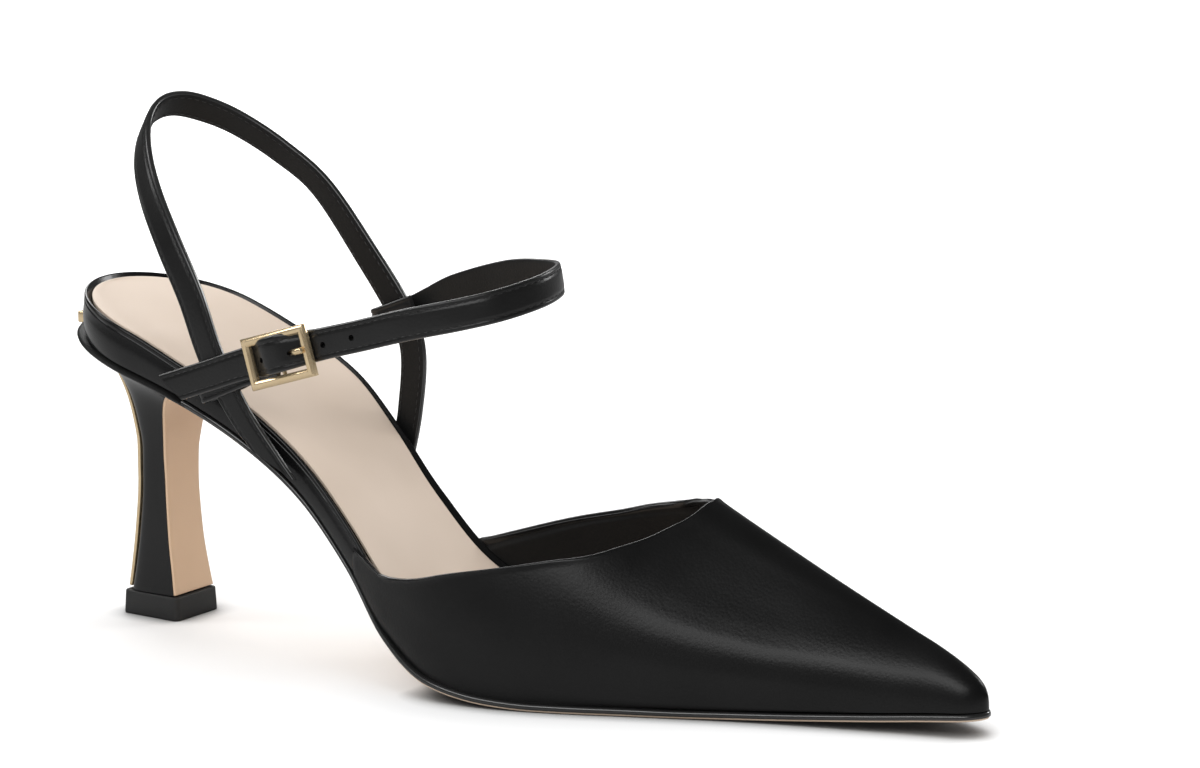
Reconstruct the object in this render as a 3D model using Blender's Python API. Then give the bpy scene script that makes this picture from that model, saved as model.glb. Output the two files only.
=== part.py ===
# Pointed slingback pump with an ankle strap, right foot, on a flared block heel.
# Tables are in millimetres. +X runs to the toe, +Y to the inner side, +Z up, floor at z = 0.
import bpy
import bmesh
from math import sin, cos, sqrt, radians
from mathutils import Matrix, Vector

MM = 0.001
GAP = 0.3

# The bottom outline of the shoe
HEEL_DEPTH = 28.0
TOE_X = 239.4
TOE_ROUND = 6.0
# columns: x, middle of the outline in y, half width
OUTLINE = [
    (28, -0.5, 26.0),
    (45, 0.3, 26.0),
    (60, 0.3, 24.2),
    (75, -1.4, 21.4),
    (90, -4.8, 20.6),
    (105, -7.2, 24.2),
    (120, -5.6, 30.0),
    (135, -1.2, 33.5),
    (150, 3.2, 33.5),
    (165, 6.2, 30.2),
    (190, 7.2, 21.2),
    (215, 5.7, 11.9),
    (232, 4.3, 5.9),
    (240, 3.6, 3.9),
]

# Heights along the shoe
# columns: x, underside of the sole, top rim of the footbed, dish of the footbed
HEIGHTS = [
    (0, 70.8, 83.0, 1.8),
    (28, 62.8, 74.2, 1.8),
    (45, 56.8, 66.6, 1.5),
    (60, 49.0, 59.2, 1.2),
    (75, 38.2, 48.4, 1.0),
    (90, 24.4, 35.2, 0.8),
    (105, 10.5, 21.6, 0.6),
    (120, 3.0, 12.0, 0.4),
    (135, 0.5, 7.6, 0.3),
    (146, 0.0, 5.8, 0.3),
    (172, 0.0, 5.4, 0.3),
    (190, 0.4, 5.7, 0.2),
    (215, 1.8, 7.1, 0.2),
    (232, 3.2, 8.5, 0.2),
    (242, 4.0, 9.3, 0.2),
]

SOLE_THICK = 1.8
SOLE_EDGE_OUT = 1.2
SOLE_WAIST_IN = 0.4

# The vamp
WALL = 1.6
VAMP_ROWS = 22
VAMP_COLUMNS = 16
RIDGE_Y = 3.6
# columns: x, height of the ridge line, squareness of the section; carried back past the throat
RIDGE = [
    (96, 80.0, 2.3),
    (120, 69.0, 2.3),
    (140, 59.6, 2.2),
    (160, 49.8, 2.0),
    (172, 43.9, 1.9),
    (186, 36.9, 1.85),
    (202, 29.0, 1.85),
    (219, 21.4, 1.9),
    (228, 17.6, 1.95),
    (234.4, 14.2, 2.0),
    (238, 11.4, 2.1),
    (239.4, 9.0, 2.2),
]
# columns: angle up the side in degrees, outer-side x of the topline, inner-side x
TOPLINE = [
    (0, 95.5, 97.0),
    (6, 99.5, 100.0),
    (18, 120.0, 116.0),
    (27, 136.5, 131.0),
    (38, 152.0, 146.0),
    (52, 163.0, 158.5),
    (68, 168.6, 166.4),
    (80, 170.2, 169.8),
    (90, 170.6, 170.6),
]

# The footbed rim, behind the vamp
# columns: inset from the outline, part of the thickness from below
RIM = [
    (1.5, 0.0),
    (0.5, 0.12),
    (0.0, 0.4),
    (0.15, 0.65),
    (0.6, 0.88),
    (1.3, 0.98),
    (2.6, 1.0),
]
RECESS = 1.0
RECESS_IN = 3.1
SOCK_IN = 3.5
SOCK_THICK = 0.8
VAMP_STEP = 2.2
BED_BACK_IN = 1.6
BED_TOE_X = 228.0

# The heel
HEEL_FRONT_X = 45.0
# columns: drop below the seat, inset from the outline
HEEL_LIP = [
    (0.0, 0.7),
    (0.4, 0.2),
    (1.2, 0.3),
    (2.0, 1.4),
]
# columns: back x, back z, front x, front z, half width, squareness
HEEL_STEM = [
    (5.2, 66.0, 41.4, 54.4, 20.5, 2.6),
    (8.0, 62.6, 32.0, 53.2, 14.4, 2.8),
    (10.7, 58.4, 26.8, 51.0, 10.2, 3.2),
    (12.9, 54.0, 24.7, 47.8, 8.2, 3.8),
    (14.6, 48.6, 24.2, 44.4, 7.3, 4.5),
    (15.8, 41.5, 23.7, 39.4, 6.6, 5.0),
    (15.8, 33.0, 23.8, 32.0, 6.3, 6.0),
    (14.6, 20.0, 24.6, 19.6, 6.6, 6.0),
    (13.4, 12.0, 25.7, 11.8, 7.0, 6.0),
    (12.4, 6.1, 26.6, 6.1, 7.5, 6.0),
]
PANEL_THICK = 0.8
PLATE_THICK = 0.9
PLATE_HALF = 4.6
# columns: back x, z of the plate's upper end, from the heel up to the small turned-out tab
PLATE_TOP = [
    (-2.6, 73.6),
    (-0.7, 72.2),
    (-0.3, 70.0),
]
# columns: z, inset from the outline of the top piece
TIP_RINGS = [
    (0.0, 0.5),
    (0.6, 0.0),
    (5.0, 0.2),
    (5.8, 0.7),
]
TIP_BACK_X = 10.6
TIP_FRONT_X = 28.3
TIP_BACK_HALF = 7.2
TIP_FRONT_HALF = 8.4
TIP_CORNER = 1.6

# The sling strap: one loop from the outer arch round the back of the ankle to the inner arch
SLING_WIDE = 7.2
SLING_THICK = 1.8
# columns: x, y, z of the strap's middle, direction its outer face looks in plan, upward lean
SLING = [
    (75.0, -25.2, 41.8, 270, 0.0),
    (69.6, -25.6, 48.0, 270, 0.0),
    (61.8, -26.2, 57.6, 270, 0.0),
    (54.8, -27.4, 70.4, 270, 0.0),
    (48.8, -27.0, 84.0, 270, 0.1),
    (41.2, -25.0, 95.2, 265, 0.2),
    (33.0, -20.8, 105.0, 254, 0.3),
    (26.0, -14.8, 112.6, 238, 0.4),
    (21.2, -8.0, 118.8, 215, 0.5),
    (19.4, -1.0, 122.8, 190, 0.6),
    (20.4, 5.6, 123.8, 167, 0.7),
    (23.8, 12.0, 122.0, 146, 0.7),
    (30.0, 17.0, 118.4, 126, 0.7),
    (39.4, 21.0, 112.0, 108, 0.6),
    (50.2, 23.0, 103.6, 97, 0.5),
    (63.0, 23.8, 87.6, 92, 0.2),
    (72.2, 23.6, 75.4, 90, 0.0),
    (76.4, 23.0, 66.0, 88, 0.0),
    (75.6, 22.5, 52.0, 82, 0.0),
    (73.4, 22.9, 43.0, 76, 0.0),
]
SLING_CUT = 12.5

# The buckle and the strap that runs through it
BUCKLE_AT = (78.2, -31.5, 73.6)
BUCKLE_RISE = 16.7
FRAME_HALF_LONG = 9.3
FRAME_HALF_TALL = 6.0
WINDOW_HALF_LONG = 7.4
WINDOW_HALF_TALL = 4.4
FRAME_NEAR = 1.05
FRAME_FAR = 2.85
BAR_HALF = 0.6
BAR_NEAR = 0.4
BAR_FAR = 1.6
STRAP_WIDE = 7.2
STRAP_THICK = 1.5
# columns: x, y, z of the ankle strap's middle, facing, lean; from the loop on the inner arm forward
STRAP_FRONT = [
    (84.6, 21.5, 80.4, 270, 0.0),
    (79.5, 21.9, 78.4, 270, 0.0),
    (75.9, 21.2, 77.0, 270, 0.0),
    (70.2, 21.3, 74.8, 270, 0.0),
    (68.2, 21.3, 74.0, 270, 0.0),
    (66.8, 21.9, 73.5, 225, -0.28),
    (66.1, 23.6, 73.2, 180, -0.4),
    (66.8, 25.3, 73.5, 135, -0.28),
    (68.2, 25.9, 74.0, 90, 0.0),
    (70.2, 25.9, 74.8, 90, 0.0),
    (75.9, 25.8, 77.0, 90, 0.0),
    (80.5, 24.7, 78.9, 88, 0.0),
    (90.0, 22.2, 83.0, 80, 0.0),
    (108.0, 17.0, 88.0, 70, 0.0),
    (123.0, 10.0, 90.2, 52, 0.0),
    (132.6, 0.0, 91.6, 25, 0.0),
    (135.6, -12.0, 91.2, -10, 0.0),
    (131.8, -22.4, 89.4, -42, 0.0),
    (124.0, -28.0, 87.0, -65, 0.0),
    (112.0, -30.9, 83.7, -80, 0.0),
]
# columns: distance along the buckle, lift off the leg; from in front of the buckle to the tail
STRAP_BUCKLE = [
    (22.0, 0.0),
    (15.0, 0.0),
    (10.5, 0.0),
    (8.0, 0.1),
    (5.0, 1.2),
    (2.2, 2.6),
    (0.0, 2.9),
    (-2.2, 2.6),
    (-5.0, 1.2),
    (-8.0, 0.1),
    (-10.5, 0.0),
    (-16.0, 0.0),
    (-23.0, 0.0),
    (-34.6, 0.2),
]
TAIL_SLANT = -4.6
CUT_REACH = 18.0
HOLE_ROUND = 0.85
# columns: distance along the buckle, lift of the hole, length against width
HOLES = [
    (-3.9, 1.8, 1.0),
    (4.0, 1.8, 1.8),
    (12.4, 0.0, 1.0),
    (20.6, 0.0, 1.0),
]
CHAPE_THICK = 1.2
CHAPE_WIDE = 7.0
CHAPE_LOW = 1.0
# columns: distance along the buckle, lift off the leg, turn of the outer face from the leg's side
CHAPE = [
    (-1.6, 0.9, 0),
    (-4.0, -0.4, 0),
    (-8.0, -1.7, 0),
    (-14.0, -2.0, 0),
    (-18.0, -2.4, 0),
    (-24.4, -2.5, 0),
    (-26.4, -2.5, 0),
    (-27.8, -3.0, -45),
    (-28.4, -4.4, -90),
    (-27.8, -5.8, -135),
    (-26.4, -6.3, -180),
    (-24.4, -6.3, -180),
    (-18.0, -6.3, -180),
    (-14.5, -4.2, -180),
    (-11.0, -3.8, -180),
]
PRONG_ROUND = 0.45
# columns: distance along the buckle, lift off the leg
PRONG = [
    (-0.6, -0.5),
    (1.4, -0.4),
    (2.6, 0.4),
    (4.0, 2.0),
    (5.4, 3.3),
    (7.2, 3.75),
    (9.0, 3.6),
]


def slope_at(xs, ys, k):
    """Slope of a monotone curve at knot k."""
    last = len(xs) - 1
    if k == 0:
        return (ys[1] - ys[0]) / (xs[1] - xs[0])
    if k == last:
        return (ys[last] - ys[last - 1]) / (xs[last] - xs[last - 1])
    h0 = xs[k] - xs[k - 1]
    h1 = xs[k + 1] - xs[k]
    d0 = (ys[k] - ys[k - 1]) / h0
    d1 = (ys[k + 1] - ys[k]) / h1
    if d0 * d1 <= 0:
        return 0.0
    w0 = 2 * h1 + h0
    w1 = h1 + 2 * h0
    return (w0 + w1) / (w0 / d0 + w1 / d1)


def read(table, column, x):
    """Value of one table column at x, on a monotone cubic through the rows."""
    xs = [row[0] for row in table]
    ys = [row[column] for row in table]
    if x <= xs[0]:
        return ys[0]
    if x >= xs[-1]:
        return ys[-1]
    k = 0
    while x > xs[k + 1]:
        k += 1
    h = xs[k + 1] - xs[k]
    t = (x - xs[k]) / h
    m0 = slope_at(xs, ys, k) * h
    m1 = slope_at(xs, ys, k + 1) * h
    a = ys[k] * (1 + 2 * t) * (1 - t) ** 2 + m0 * t * (1 - t) ** 2
    b = ys[k + 1] * t * t * (3 - 2 * t) + m1 * t * t * (t - 1)
    return a + b


def middle(x):
    return read(OUTLINE, 1, x)


def line_half(x):
    """Half width of the outline in front of the heel, before the toe is rounded."""
    return read(OUTLINE, 2, x)


def inset_half(x, inset):
    taper = (line_half(x + 0.5) - line_half(x - 0.5)) if x > HEEL_DEPTH else 0.0
    return max(line_half(x) - inset * sqrt(1 + taper * taper), 0.3)


def toe_half(x, inset, toe_x):
    """Half width with the toe rounded off over its last few millimetres."""
    start = toe_x - TOE_ROUND
    if x <= start:
        return inset_half(x, inset)
    part = min((x - start) / TOE_ROUND, 1.0)
    return inset_half(x, inset) * sqrt(max(1 - part * part, 0.0))


def sole_z(x):
    return read(HEIGHTS, 1, x)


def rim_z(x):
    return read(HEIGHTS, 2, x)


def bed_under(x):
    return sole_z(x) + SOLE_THICK + GAP


def bed_top(x, across):
    """Floor of the footbed's recess; across runs from -1 to 1 over the width."""
    return rim_z(x) - RECESS - read(HEIGHTS, 3, x) * (1 - across * across)


def edge_point(station, side, inset, toe_x):
    """A plan point on the outline moved inwards; side is -1 outer, 1 inner."""
    kind, value = station
    if kind == "heel":
        a = radians(value)
        x = HEEL_DEPTH - (HEEL_DEPTH - BED_BACK_IN - inset) * cos(a)
        y = (line_half(HEEL_DEPTH) - inset) * sin(a)
        return x, middle(x) + side * y
    end = toe_x - inset
    x = end - TOE_ROUND * (1 - sin(radians(value))) if kind == "toe" else value
    return x, middle(x) + side * toe_half(x, inset, end)


HEEL_STATIONS = [("heel", a) for a in (0, 8, 18, 30, 42, 54, 66, 78)]
WAIST_STATIONS = [("body", x) for x in (28, 36, 45.4, 53, 60, 68, 76, 84, 90)]
BALL_STATIONS = [("body", x) for x in (93, 94.4, 95.2, 96.6, 100, 104, 109, 114, 120, 127, 135, 141, 146)]
TREAD_STATIONS = [("body", x) for x in (155, 164, 172, 181, 190, 199, 207, 215)]
POINT_STATIONS = [("body", x) for x in (222, 229)]
TOE_STATIONS = [("toe", a) for a in (0, 25, 45, 62, 77, 90)]


def new_object(name, bm, finish):
    """Close off a mesh, turn it outwards and give it its own material."""
    bmesh.ops.remove_doubles(bm, verts=bm.verts, dist=0.000002)
    bmesh.ops.recalc_face_normals(bm, faces=bm.faces)
    if bm.calc_volume(signed=True) < 0:
        bmesh.ops.reverse_faces(bm, faces=bm.faces)
    many = [f for f in bm.faces if len(f.verts) > 4]
    bmesh.ops.triangulate(bm, faces=many)
    mesh = bpy.data.meshes.new(name)
    bm.to_mesh(mesh)
    bm.free()
    thing = bpy.data.objects.new(name, mesh)
    bpy.context.scene.collection.objects.link(thing)
    colour, rough, metal = finish
    material = bpy.data.materials.new(name + "_finish")
    material.use_nodes = True
    shader = material.node_tree.nodes["Principled BSDF"]
    shader.inputs["Base Color"].default_value = (*colour, 1.0)
    shader.inputs["Roughness"].default_value = rough
    shader.inputs["Metallic"].default_value = metal
    material.diffuse_color = (*colour, 1.0)
    mesh.materials.append(material)
    return thing


def loft(name, loops, finish):
    """Skin a row of closed loops with the same number of points and cap both ends."""
    bm = bmesh.new()
    rows = [[bm.verts.new(Vector(p) * MM) for p in loop] for loop in loops]
    count = len(rows[0])
    for a, b in zip(rows, rows[1:]):
        for i in range(count):
            j = (i + 1) % count
            bm.faces.new((a[i], a[j], b[j], b[i]))
    for loop, row in ((loops[0], rows[0]), (loops[-1], rows[-1])):
        wide = max(p[1] for p in loop) - min(p[1] for p in loop)
        if wide > 0.001:
            bm.faces.new(row)
    return new_object(name, bm, finish)


BLACK = ((0.012, 0.012, 0.013), 0.35, 0.0)
RUBBER = ((0.02, 0.02, 0.02), 0.6, 0.0)
NUDE = ((0.62, 0.48, 0.40), 0.6, 0.0)
TAN = ((0.55, 0.37, 0.25), 0.5, 0.0)
GOLD = ((0.85, 0.65, 0.36), 0.2, 1.0)


def slab(name, stations, rings, across, toe_x, finish):
    """A sole-like body: side rings up each edge, closed over the top and the bottom.

    rings(x, side) gives (inset, height) pairs from the bottom up;
    across(x, part, top) gives heights at parts of the width between the edges.
    """
    parts = (-0.6, -0.2, 0.2, 0.6)
    loops = []
    for station in stations:
        loop = []
        for side in (-1, 1):
            run = []
            at_x, at_y = edge_point(station, side, 0.0, toe_x)
            for inset, height in rings(at_x, side):
                x, y = edge_point(station, side, inset, toe_x)
                run.append((x, y, height(x)))
            loop.append(run if side < 0 else run[::-1])
        outer, inner = loop
        top = []
        bottom = []
        if inner[0][1] - outer[-1][1] < 0.001:
            loops.append(outer + [outer[-1]] * len(parts) + inner + [outer[0]] * len(parts))
            continue
        for part in parts:
            share = (part + 1) / 2
            tx = outer[-1][0] + (inner[0][0] - outer[-1][0]) * share
            ty = outer[-1][1] + (inner[0][1] - outer[-1][1]) * share
            top.append((tx, ty, across(tx, part, True)))
            bx = outer[0][0] + (inner[-1][0] - outer[0][0]) * share
            by = outer[0][1] + (inner[-1][1] - outer[0][1]) * share
            bottom.append((bx, by, across(bx, part, False)))
        loops.append(outer + top + inner + bottom[::-1])
    return loft(name, loops, finish)


# Outsole
def sole_inset(x):
    """Tucked in along the waist, standing out as a narrow edge round the vamp."""
    share = min(max((x - 95) / 17, 0.0), 1.0)
    share = share * share * (3 - 2 * share)
    return SOLE_WAIST_IN - (SOLE_WAIST_IN + SOLE_EDGE_OUT) * share


def sole_rings(x, side):
    base = sole_inset(x)
    steps = ((0.7, 0.0), (0.1, 0.35), (0.0, 1.0), (0.1, 1.8), (0.5, SOLE_THICK))
    return [(base + inset, lambda at, up=up: sole_z(at) + up) for inset, up in steps]


def sole_across(x, part, top):
    return sole_z(x) + (SOLE_THICK if top else 0.0)


def build_outsole():
    stations = WAIST_STATIONS[2:] + BALL_STATIONS + TREAD_STATIONS + POINT_STATIONS + TOE_STATIONS
    return slab("outsole", stations, sole_rings, sole_across, TOE_X, NUDE)


# Footbed: a wrapped board with a rounded rim, stepped in where it runs under the vamp
def vamp_step(x, side):
    start = 93.0 if side < 0 else 94.4
    share = min(max((x - start) / 2.2, 0.0), 1.0)
    return VAMP_STEP * share


def rim_height(part):
    def height(x):
        low = bed_under(x)
        return low + (rim_z(x) - low) * part
    return height


def bed_rings(x, side):
    step = vamp_step(x, side)
    rows = [(inset + step, rim_height(part)) for inset, part in RIM]
    rows.append((RECESS_IN + step, lambda at: bed_top(at, 1.0)))
    return rows


def bed_across(x, part, top):
    return bed_top(x, part) if top else bed_under(x)


def build_footbed():
    stations = HEEL_STATIONS + WAIST_STATIONS + BALL_STATIONS + TREAD_STATIONS + TOE_STATIONS
    return slab("footbed", stations, bed_rings, bed_across, BED_TOE_X, BLACK)


# Insole sock: a thin nude sheet lying in the footbed's recess
def sock_rings(x, side):
    base = SOCK_IN + vamp_step(x, side)
    return [(base, lambda at, up=up: bed_top(at, 1.0) + up) for up in (GAP, GAP + SOCK_THICK)]


def sock_across(x, part, top):
    return bed_top(x, part) + GAP + (SOCK_THICK if top else 0.0)


def build_sock():
    stations = HEEL_STATIONS + WAIST_STATIONS + BALL_STATIONS + TREAD_STATIONS + TOE_STATIONS
    return slab("insole_sock", stations, sock_rings, sock_across, BED_TOE_X, NUDE)


# Vamp: a hollow pointed toe, open underneath and at the throat
def vamp_point(x, side, angle, skin):
    """A point on the outer (skin 0) or inner (skin 1) face of the vamp."""
    inset = WALL * skin
    toe_x = TOE_X - 2.2 * skin
    foot_y = middle(x) + side * toe_half(x, inset, toe_x)
    low = bed_under(x)
    top = read(RIDGE, 1, x + 0.7 * skin) - 1.3 * skin
    power = 2 / read(RIDGE, 2, x)
    a = radians(angle)
    ease = min(max((TOE_X - x) / 60, 0.0), 1.0)
    crest = RIDGE_Y * ease + middle(x) * (1 - ease)
    y = crest + (foot_y - crest) * max(cos(a), 0.0) ** power
    z = low + (top - low) * sin(a) ** power
    return x, y, z


def build_vamp():
    angles = [(-1, 90 * i / VAMP_COLUMNS) for i in range(VAMP_COLUMNS + 1)]
    angles += [(1, 90 * i / VAMP_COLUMNS) for i in range(VAMP_COLUMNS - 1, -1, -1)]
    bm = bmesh.new()
    faces = []
    for skin in (0, 1):
        toe_x = TOE_X - 2.2 * skin
        grid = []
        for row in range(VAMP_ROWS + 1):
            run = sin(radians(90 * row / VAMP_ROWS))
            line = []
            for side, angle in angles:
                start = read(TOPLINE, 1 if side < 0 else 2, angle)
                x = start + (toe_x - start) * run
                line.append(bm.verts.new(Vector(vamp_point(x, side, angle, skin)) * MM))
            grid.append(line)
        faces.append(grid)
    outer, inner = faces
    last = len(angles) - 1
    for grid in faces:
        for row in range(VAMP_ROWS):
            for k in range(last):
                bm.faces.new((grid[row][k], grid[row][k + 1], grid[row + 1][k + 1], grid[row + 1][k]))
    for k in range(last):
        bm.faces.new((outer[0][k], outer[0][k + 1], inner[0][k + 1], inner[0][k]))
    for row in range(VAMP_ROWS):
        for k in (0, last):
            bm.faces.new((outer[row][k], outer[row + 1][k], inner[row + 1][k], inner[row][k]))
    bmesh.ops.triangulate(bm, faces=bm.faces, quad_method="SHORT_EDGE")
    return new_object("vamp", bm, BLACK)


# Heel: a lip under the footbed, drawn in to a narrow waist and flared again at the foot
HEEL_SIDE_POINTS = 12
HEEL_FRONT_POINTS = 4


def heel_shares(square):
    """Shares of depth and width round one side of the heel, from the front corner to the back."""
    power = 2 / square
    out = []
    for k in range(HEEL_SIDE_POINTS + 1):
        a = radians(90 * k / HEEL_SIDE_POINTS)
        out.append((sin(a) ** power, max(cos(a), 0.0) ** power))
    return out


def seat_half(x, inset):
    if x < HEEL_DEPTH:
        part = (HEEL_DEPTH - x) / (HEEL_DEPTH - inset)
        return (line_half(HEEL_DEPTH) - inset) * sqrt(max(1 - part * part, 0.0))
    return line_half(x) - inset


def heel_ring(side_points):
    """A closed ring from one side's points: outer side, back, inner side, then across the front."""
    ring = [(x, mid - wide, z) for x, mid, wide, z in side_points]
    ring += [(x, mid + wide, z) for x, mid, wide, z in reversed(side_points[:-1])]
    x, mid, wide, z = side_points[0]
    for k in range(1, HEEL_FRONT_POINTS):
        ring.append((x, mid + wide * (1 - 2 * k / HEEL_FRONT_POINTS), z))
    return ring


def build_heel():
    loops = []
    for drop, inset in HEEL_LIP:
        front_x = HEEL_FRONT_X - (0.4 if inset > 0.5 else 0.0)
        points = []
        for deep, wide in heel_shares(HEEL_STEM[0][5]):
            x = front_x + (inset - front_x) * deep
            points.append((x, middle(x), seat_half(x, inset), sole_z(x) + SOLE_THICK - drop))
        loops.append(heel_ring(points))
    for back_x, back_z, front_x, front_z, half, square in HEEL_STEM:
        points = []
        for deep, wide in heel_shares(square):
            x = front_x + (back_x - front_x) * deep
            points.append((x, 0.0, half * wide, front_z + (back_z - front_z) * deep))
        loops.append(heel_ring(points))
    return loft("heel", loops, BLACK)


def sheet_along(name, line, halves, near, far, outward, finish):
    """A thin plate that follows a line in the XZ plane, held off it on one side."""
    loops = []
    for k, (x, z) in enumerate(line):
        x0, z0 = line[max(k - 1, 0)]
        x1, z1 = line[min(k + 1, len(line) - 1)]
        run = Vector((x1 - x0, z1 - z0)).normalized()
        nx, nz = (run.y * outward, -run.x * outward)
        loop = []
        for off, side in ((near, -1), (near, 1), (far, 1), (far, -1)):
            loop.append((x + nx * off, side * halves[k], z + nz * off))
        loops.append(loop)
    return loft(name, loops, finish)


def build_breast_panel():
    rows = HEEL_STEM[1:]
    line = [(row[2], row[3]) for row in rows]
    halves = [row[4] - 0.2 for row in rows]
    return sheet_along("heel_breast_panel", line, halves, GAP, GAP + PANEL_THICK, -1, TAN)


def build_back_plate():
    line = PLATE_TOP + [(row[0], row[1]) for row in HEEL_STEM]
    halves = [PLATE_HALF for point in line]
    return sheet_along("heel_back_plate", line, halves, GAP, GAP + PLATE_THICK, 1, GOLD)


def build_top_piece():
    loops = []
    for z, inset in TIP_RINGS:
        corners = (
            (TIP_FRONT_X - inset, -TIP_FRONT_HALF + inset, 270),
            (TIP_FRONT_X - inset, TIP_FRONT_HALF - inset, 0),
            (TIP_BACK_X + inset, TIP_BACK_HALF - inset, 90),
            (TIP_BACK_X + inset, -TIP_BACK_HALF + inset, 180),
        )
        loop = []
        for x, y, turn in corners:
            cx = x - TIP_CORNER if x > 20 else x + TIP_CORNER
            cy = y - TIP_CORNER if y > 0 else y + TIP_CORNER
            for k in range(5):
                a = radians(turn + 22.5 * k)
                loop.append((cx + TIP_CORNER * cos(a), cy + TIP_CORNER * sin(a), z))
        loops.append(loop)
    return loft("heel_top_piece", loops, RUBBER)


# Straps
def spline(points, per_step):
    """A smooth curve through the points of a table, in steps of even number."""
    points = [Vector(p) for p in points]
    ends = [points[0] * 2 - points[1]] + points + [points[-1] * 2 - points[-2]]
    out = []
    for k in range(1, len(ends) - 2):
        p0, p1, p2, p3 = ends[k - 1:k + 3]
        for step in range(per_step):
            t = step / per_step
            a = p1 * 2 + (p2 - p0) * t
            b = (p0 * 2 - p1 * 5 + p2 * 4 - p3) * t * t
            c = (p1 * 3 - p0 - p2 * 3 + p3) * t ** 3
            out.append((a + b + c) / 2)
    out.append(points[-1])
    return out


def ribbon(name, rows, wide, thick, per_step, finish, cuts=(0.0, 0.0)):
    """A strap with eased edges along rows of x, y, z, facing and lean; its ends can be cut aslant."""
    curve = spline(rows, per_step)
    profile = (
        (-0.5, -0.2), (-0.5, 0.2), (-0.42, 0.5), (0.42, 0.5),
        (0.5, 0.2), (0.5, -0.2), (0.42, -0.5), (-0.42, -0.5),
    )
    loops = []
    last = len(curve) - 1
    for k, row in enumerate(curve):
        here = Vector(row[:3])
        run = Vector(curve[min(k + 1, last)][:3]) - Vector(curve[max(k - 1, 0)][:3])
        run.normalize()
        a = radians(row[3])
        out = Vector((cos(a), sin(a), row[4]))
        out = (out - run * out.dot(run)).normalized()
        across = run.cross(out)
        to_start = (here - Vector(curve[0][:3])).length / CUT_REACH
        to_end = (here - Vector(curve[last][:3])).length / CUT_REACH
        cut = cuts[0] * max(1 - to_start, 0.0) + cuts[1] * max(1 - to_end, 0.0)
        loop = []
        for w, t in profile:
            loop.append(here + across * (w * wide) + out * (t * thick) + run * (cut * (0.5 - w)))
        loops.append(loop)
    return loft(name, loops, finish)


def buckle_point(along, lift, up=0.0):
    """From the buckle's own place to the shoe: along the strap, off the leg, and up across it."""
    a = radians(BUCKLE_RISE)
    x = BUCKLE_AT[0] + along * cos(a) - up * sin(a)
    z = BUCKLE_AT[2] + along * sin(a) + up * cos(a)
    return x, BUCKLE_AT[1] - lift, z


def build_sling():
    return ribbon("sling_strap", SLING, SLING_WIDE, SLING_THICK, 3, BLACK, (SLING_CUT, -SLING_CUT))


def build_ankle_strap():
    rows = list(STRAP_FRONT)
    for along, lift in STRAP_BUCKLE:
        rows.append((*buckle_point(along, lift), -90, 0.0))
    strap = ribbon("ankle_strap", rows, STRAP_WIDE, STRAP_THICK, 3, BLACK, (0.0, TAIL_SLANT))
    for number, (along, lift, stretch) in enumerate(HOLES):
        bm = bmesh.new()
        place = Matrix.Translation(Vector(buckle_point(along, lift)) * MM)
        turn = Matrix.Rotation(-radians(BUCKLE_RISE), 4, "Y")
        shape = Matrix.Diagonal((stretch, 1.0, 1.0, 1.0)) @ Matrix.Rotation(radians(90), 4, "X")
        bmesh.ops.create_cone(
            bm, cap_ends=True, segments=14, radius1=HOLE_ROUND * MM, radius2=HOLE_ROUND * MM,
            depth=6 * MM, matrix=place @ turn @ shape)
        punch = new_object("hole_punch_%d" % number, bm, BLACK)
        punch.hide_render = True
        punch.display_type = "WIRE"
        cut = strap.modifiers.new("hole_%d" % number, "BOOLEAN")
        cut.operation = "DIFFERENCE"
        cut.solver = "EXACT"
        cut.object = punch
    return strap


def build_buckle_strap():
    rows = []
    for along, lift, turn in CHAPE:
        lean = sin(radians(turn)) * sin(radians(BUCKLE_RISE))
        rows.append((*buckle_point(along, lift, -CHAPE_LOW), 270 + turn, lean))
    return ribbon("buckle_strap", rows, CHAPE_WIDE, CHAPE_THICK, 2, BLACK)


def build_buckle_frame():
    """A flat frame with one crossbar, laid out on a grid of cells with two windows left out."""
    longs = (-FRAME_HALF_LONG, -WINDOW_HALF_LONG, -BAR_HALF, BAR_HALF, WINDOW_HALF_LONG, FRAME_HALF_LONG)
    drop = WINDOW_HALF_TALL - 0.5
    talls = (-FRAME_HALF_TALL, -WINDOW_HALF_TALL, -drop, drop, WINDOW_HALF_TALL, FRAME_HALF_TALL)
    bm = bmesh.new()
    verts = {}

    def corner(i, j, far):
        key = (i, j, far)
        if key not in verts:
            on_bar = i in (2, 3) and j in (2, 3)
            lift = (BAR_FAR if far else BAR_NEAR) if on_bar else (FRAME_FAR if far else FRAME_NEAR)
            if far and not on_bar and (i in (0, 5) or j in (0, 5)):
                lift -= 0.45
            verts[key] = bm.verts.new(Vector(buckle_point(longs[i], lift, talls[j])) * MM)
        return verts[key]

    def filled(i, j):
        if i < 0 or j < 0 or i > 4 or j > 4:
            return False
        return i in (0, 2, 4) or j in (0, 4)

    for i in range(5):
        for j in range(5):
            if not filled(i, j):
                continue
            bm.faces.new([corner(i + a, j + b, True) for a, b in ((0, 0), (1, 0), (1, 1), (0, 1))])
            bm.faces.new([corner(i + a, j + b, False) for a, b in ((0, 0), (0, 1), (1, 1), (1, 0))])
            sides = (((0, 0), (1, 0), (0, -1)), ((1, 0), (1, 1), (1, 0)),
                     ((1, 1), (0, 1), (0, 1)), ((0, 1), (0, 0), (-1, 0)))
            for start, end, step in sides:
                if filled(i + step[0], j + step[1]):
                    continue
                a = (i + start[0], j + start[1])
                b = (i + end[0], j + end[1])
                bm.faces.new((corner(*a, False), corner(*b, False), corner(*b, True), corner(*a, True)))
    return new_object("buckle_frame", bm, GOLD)


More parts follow.
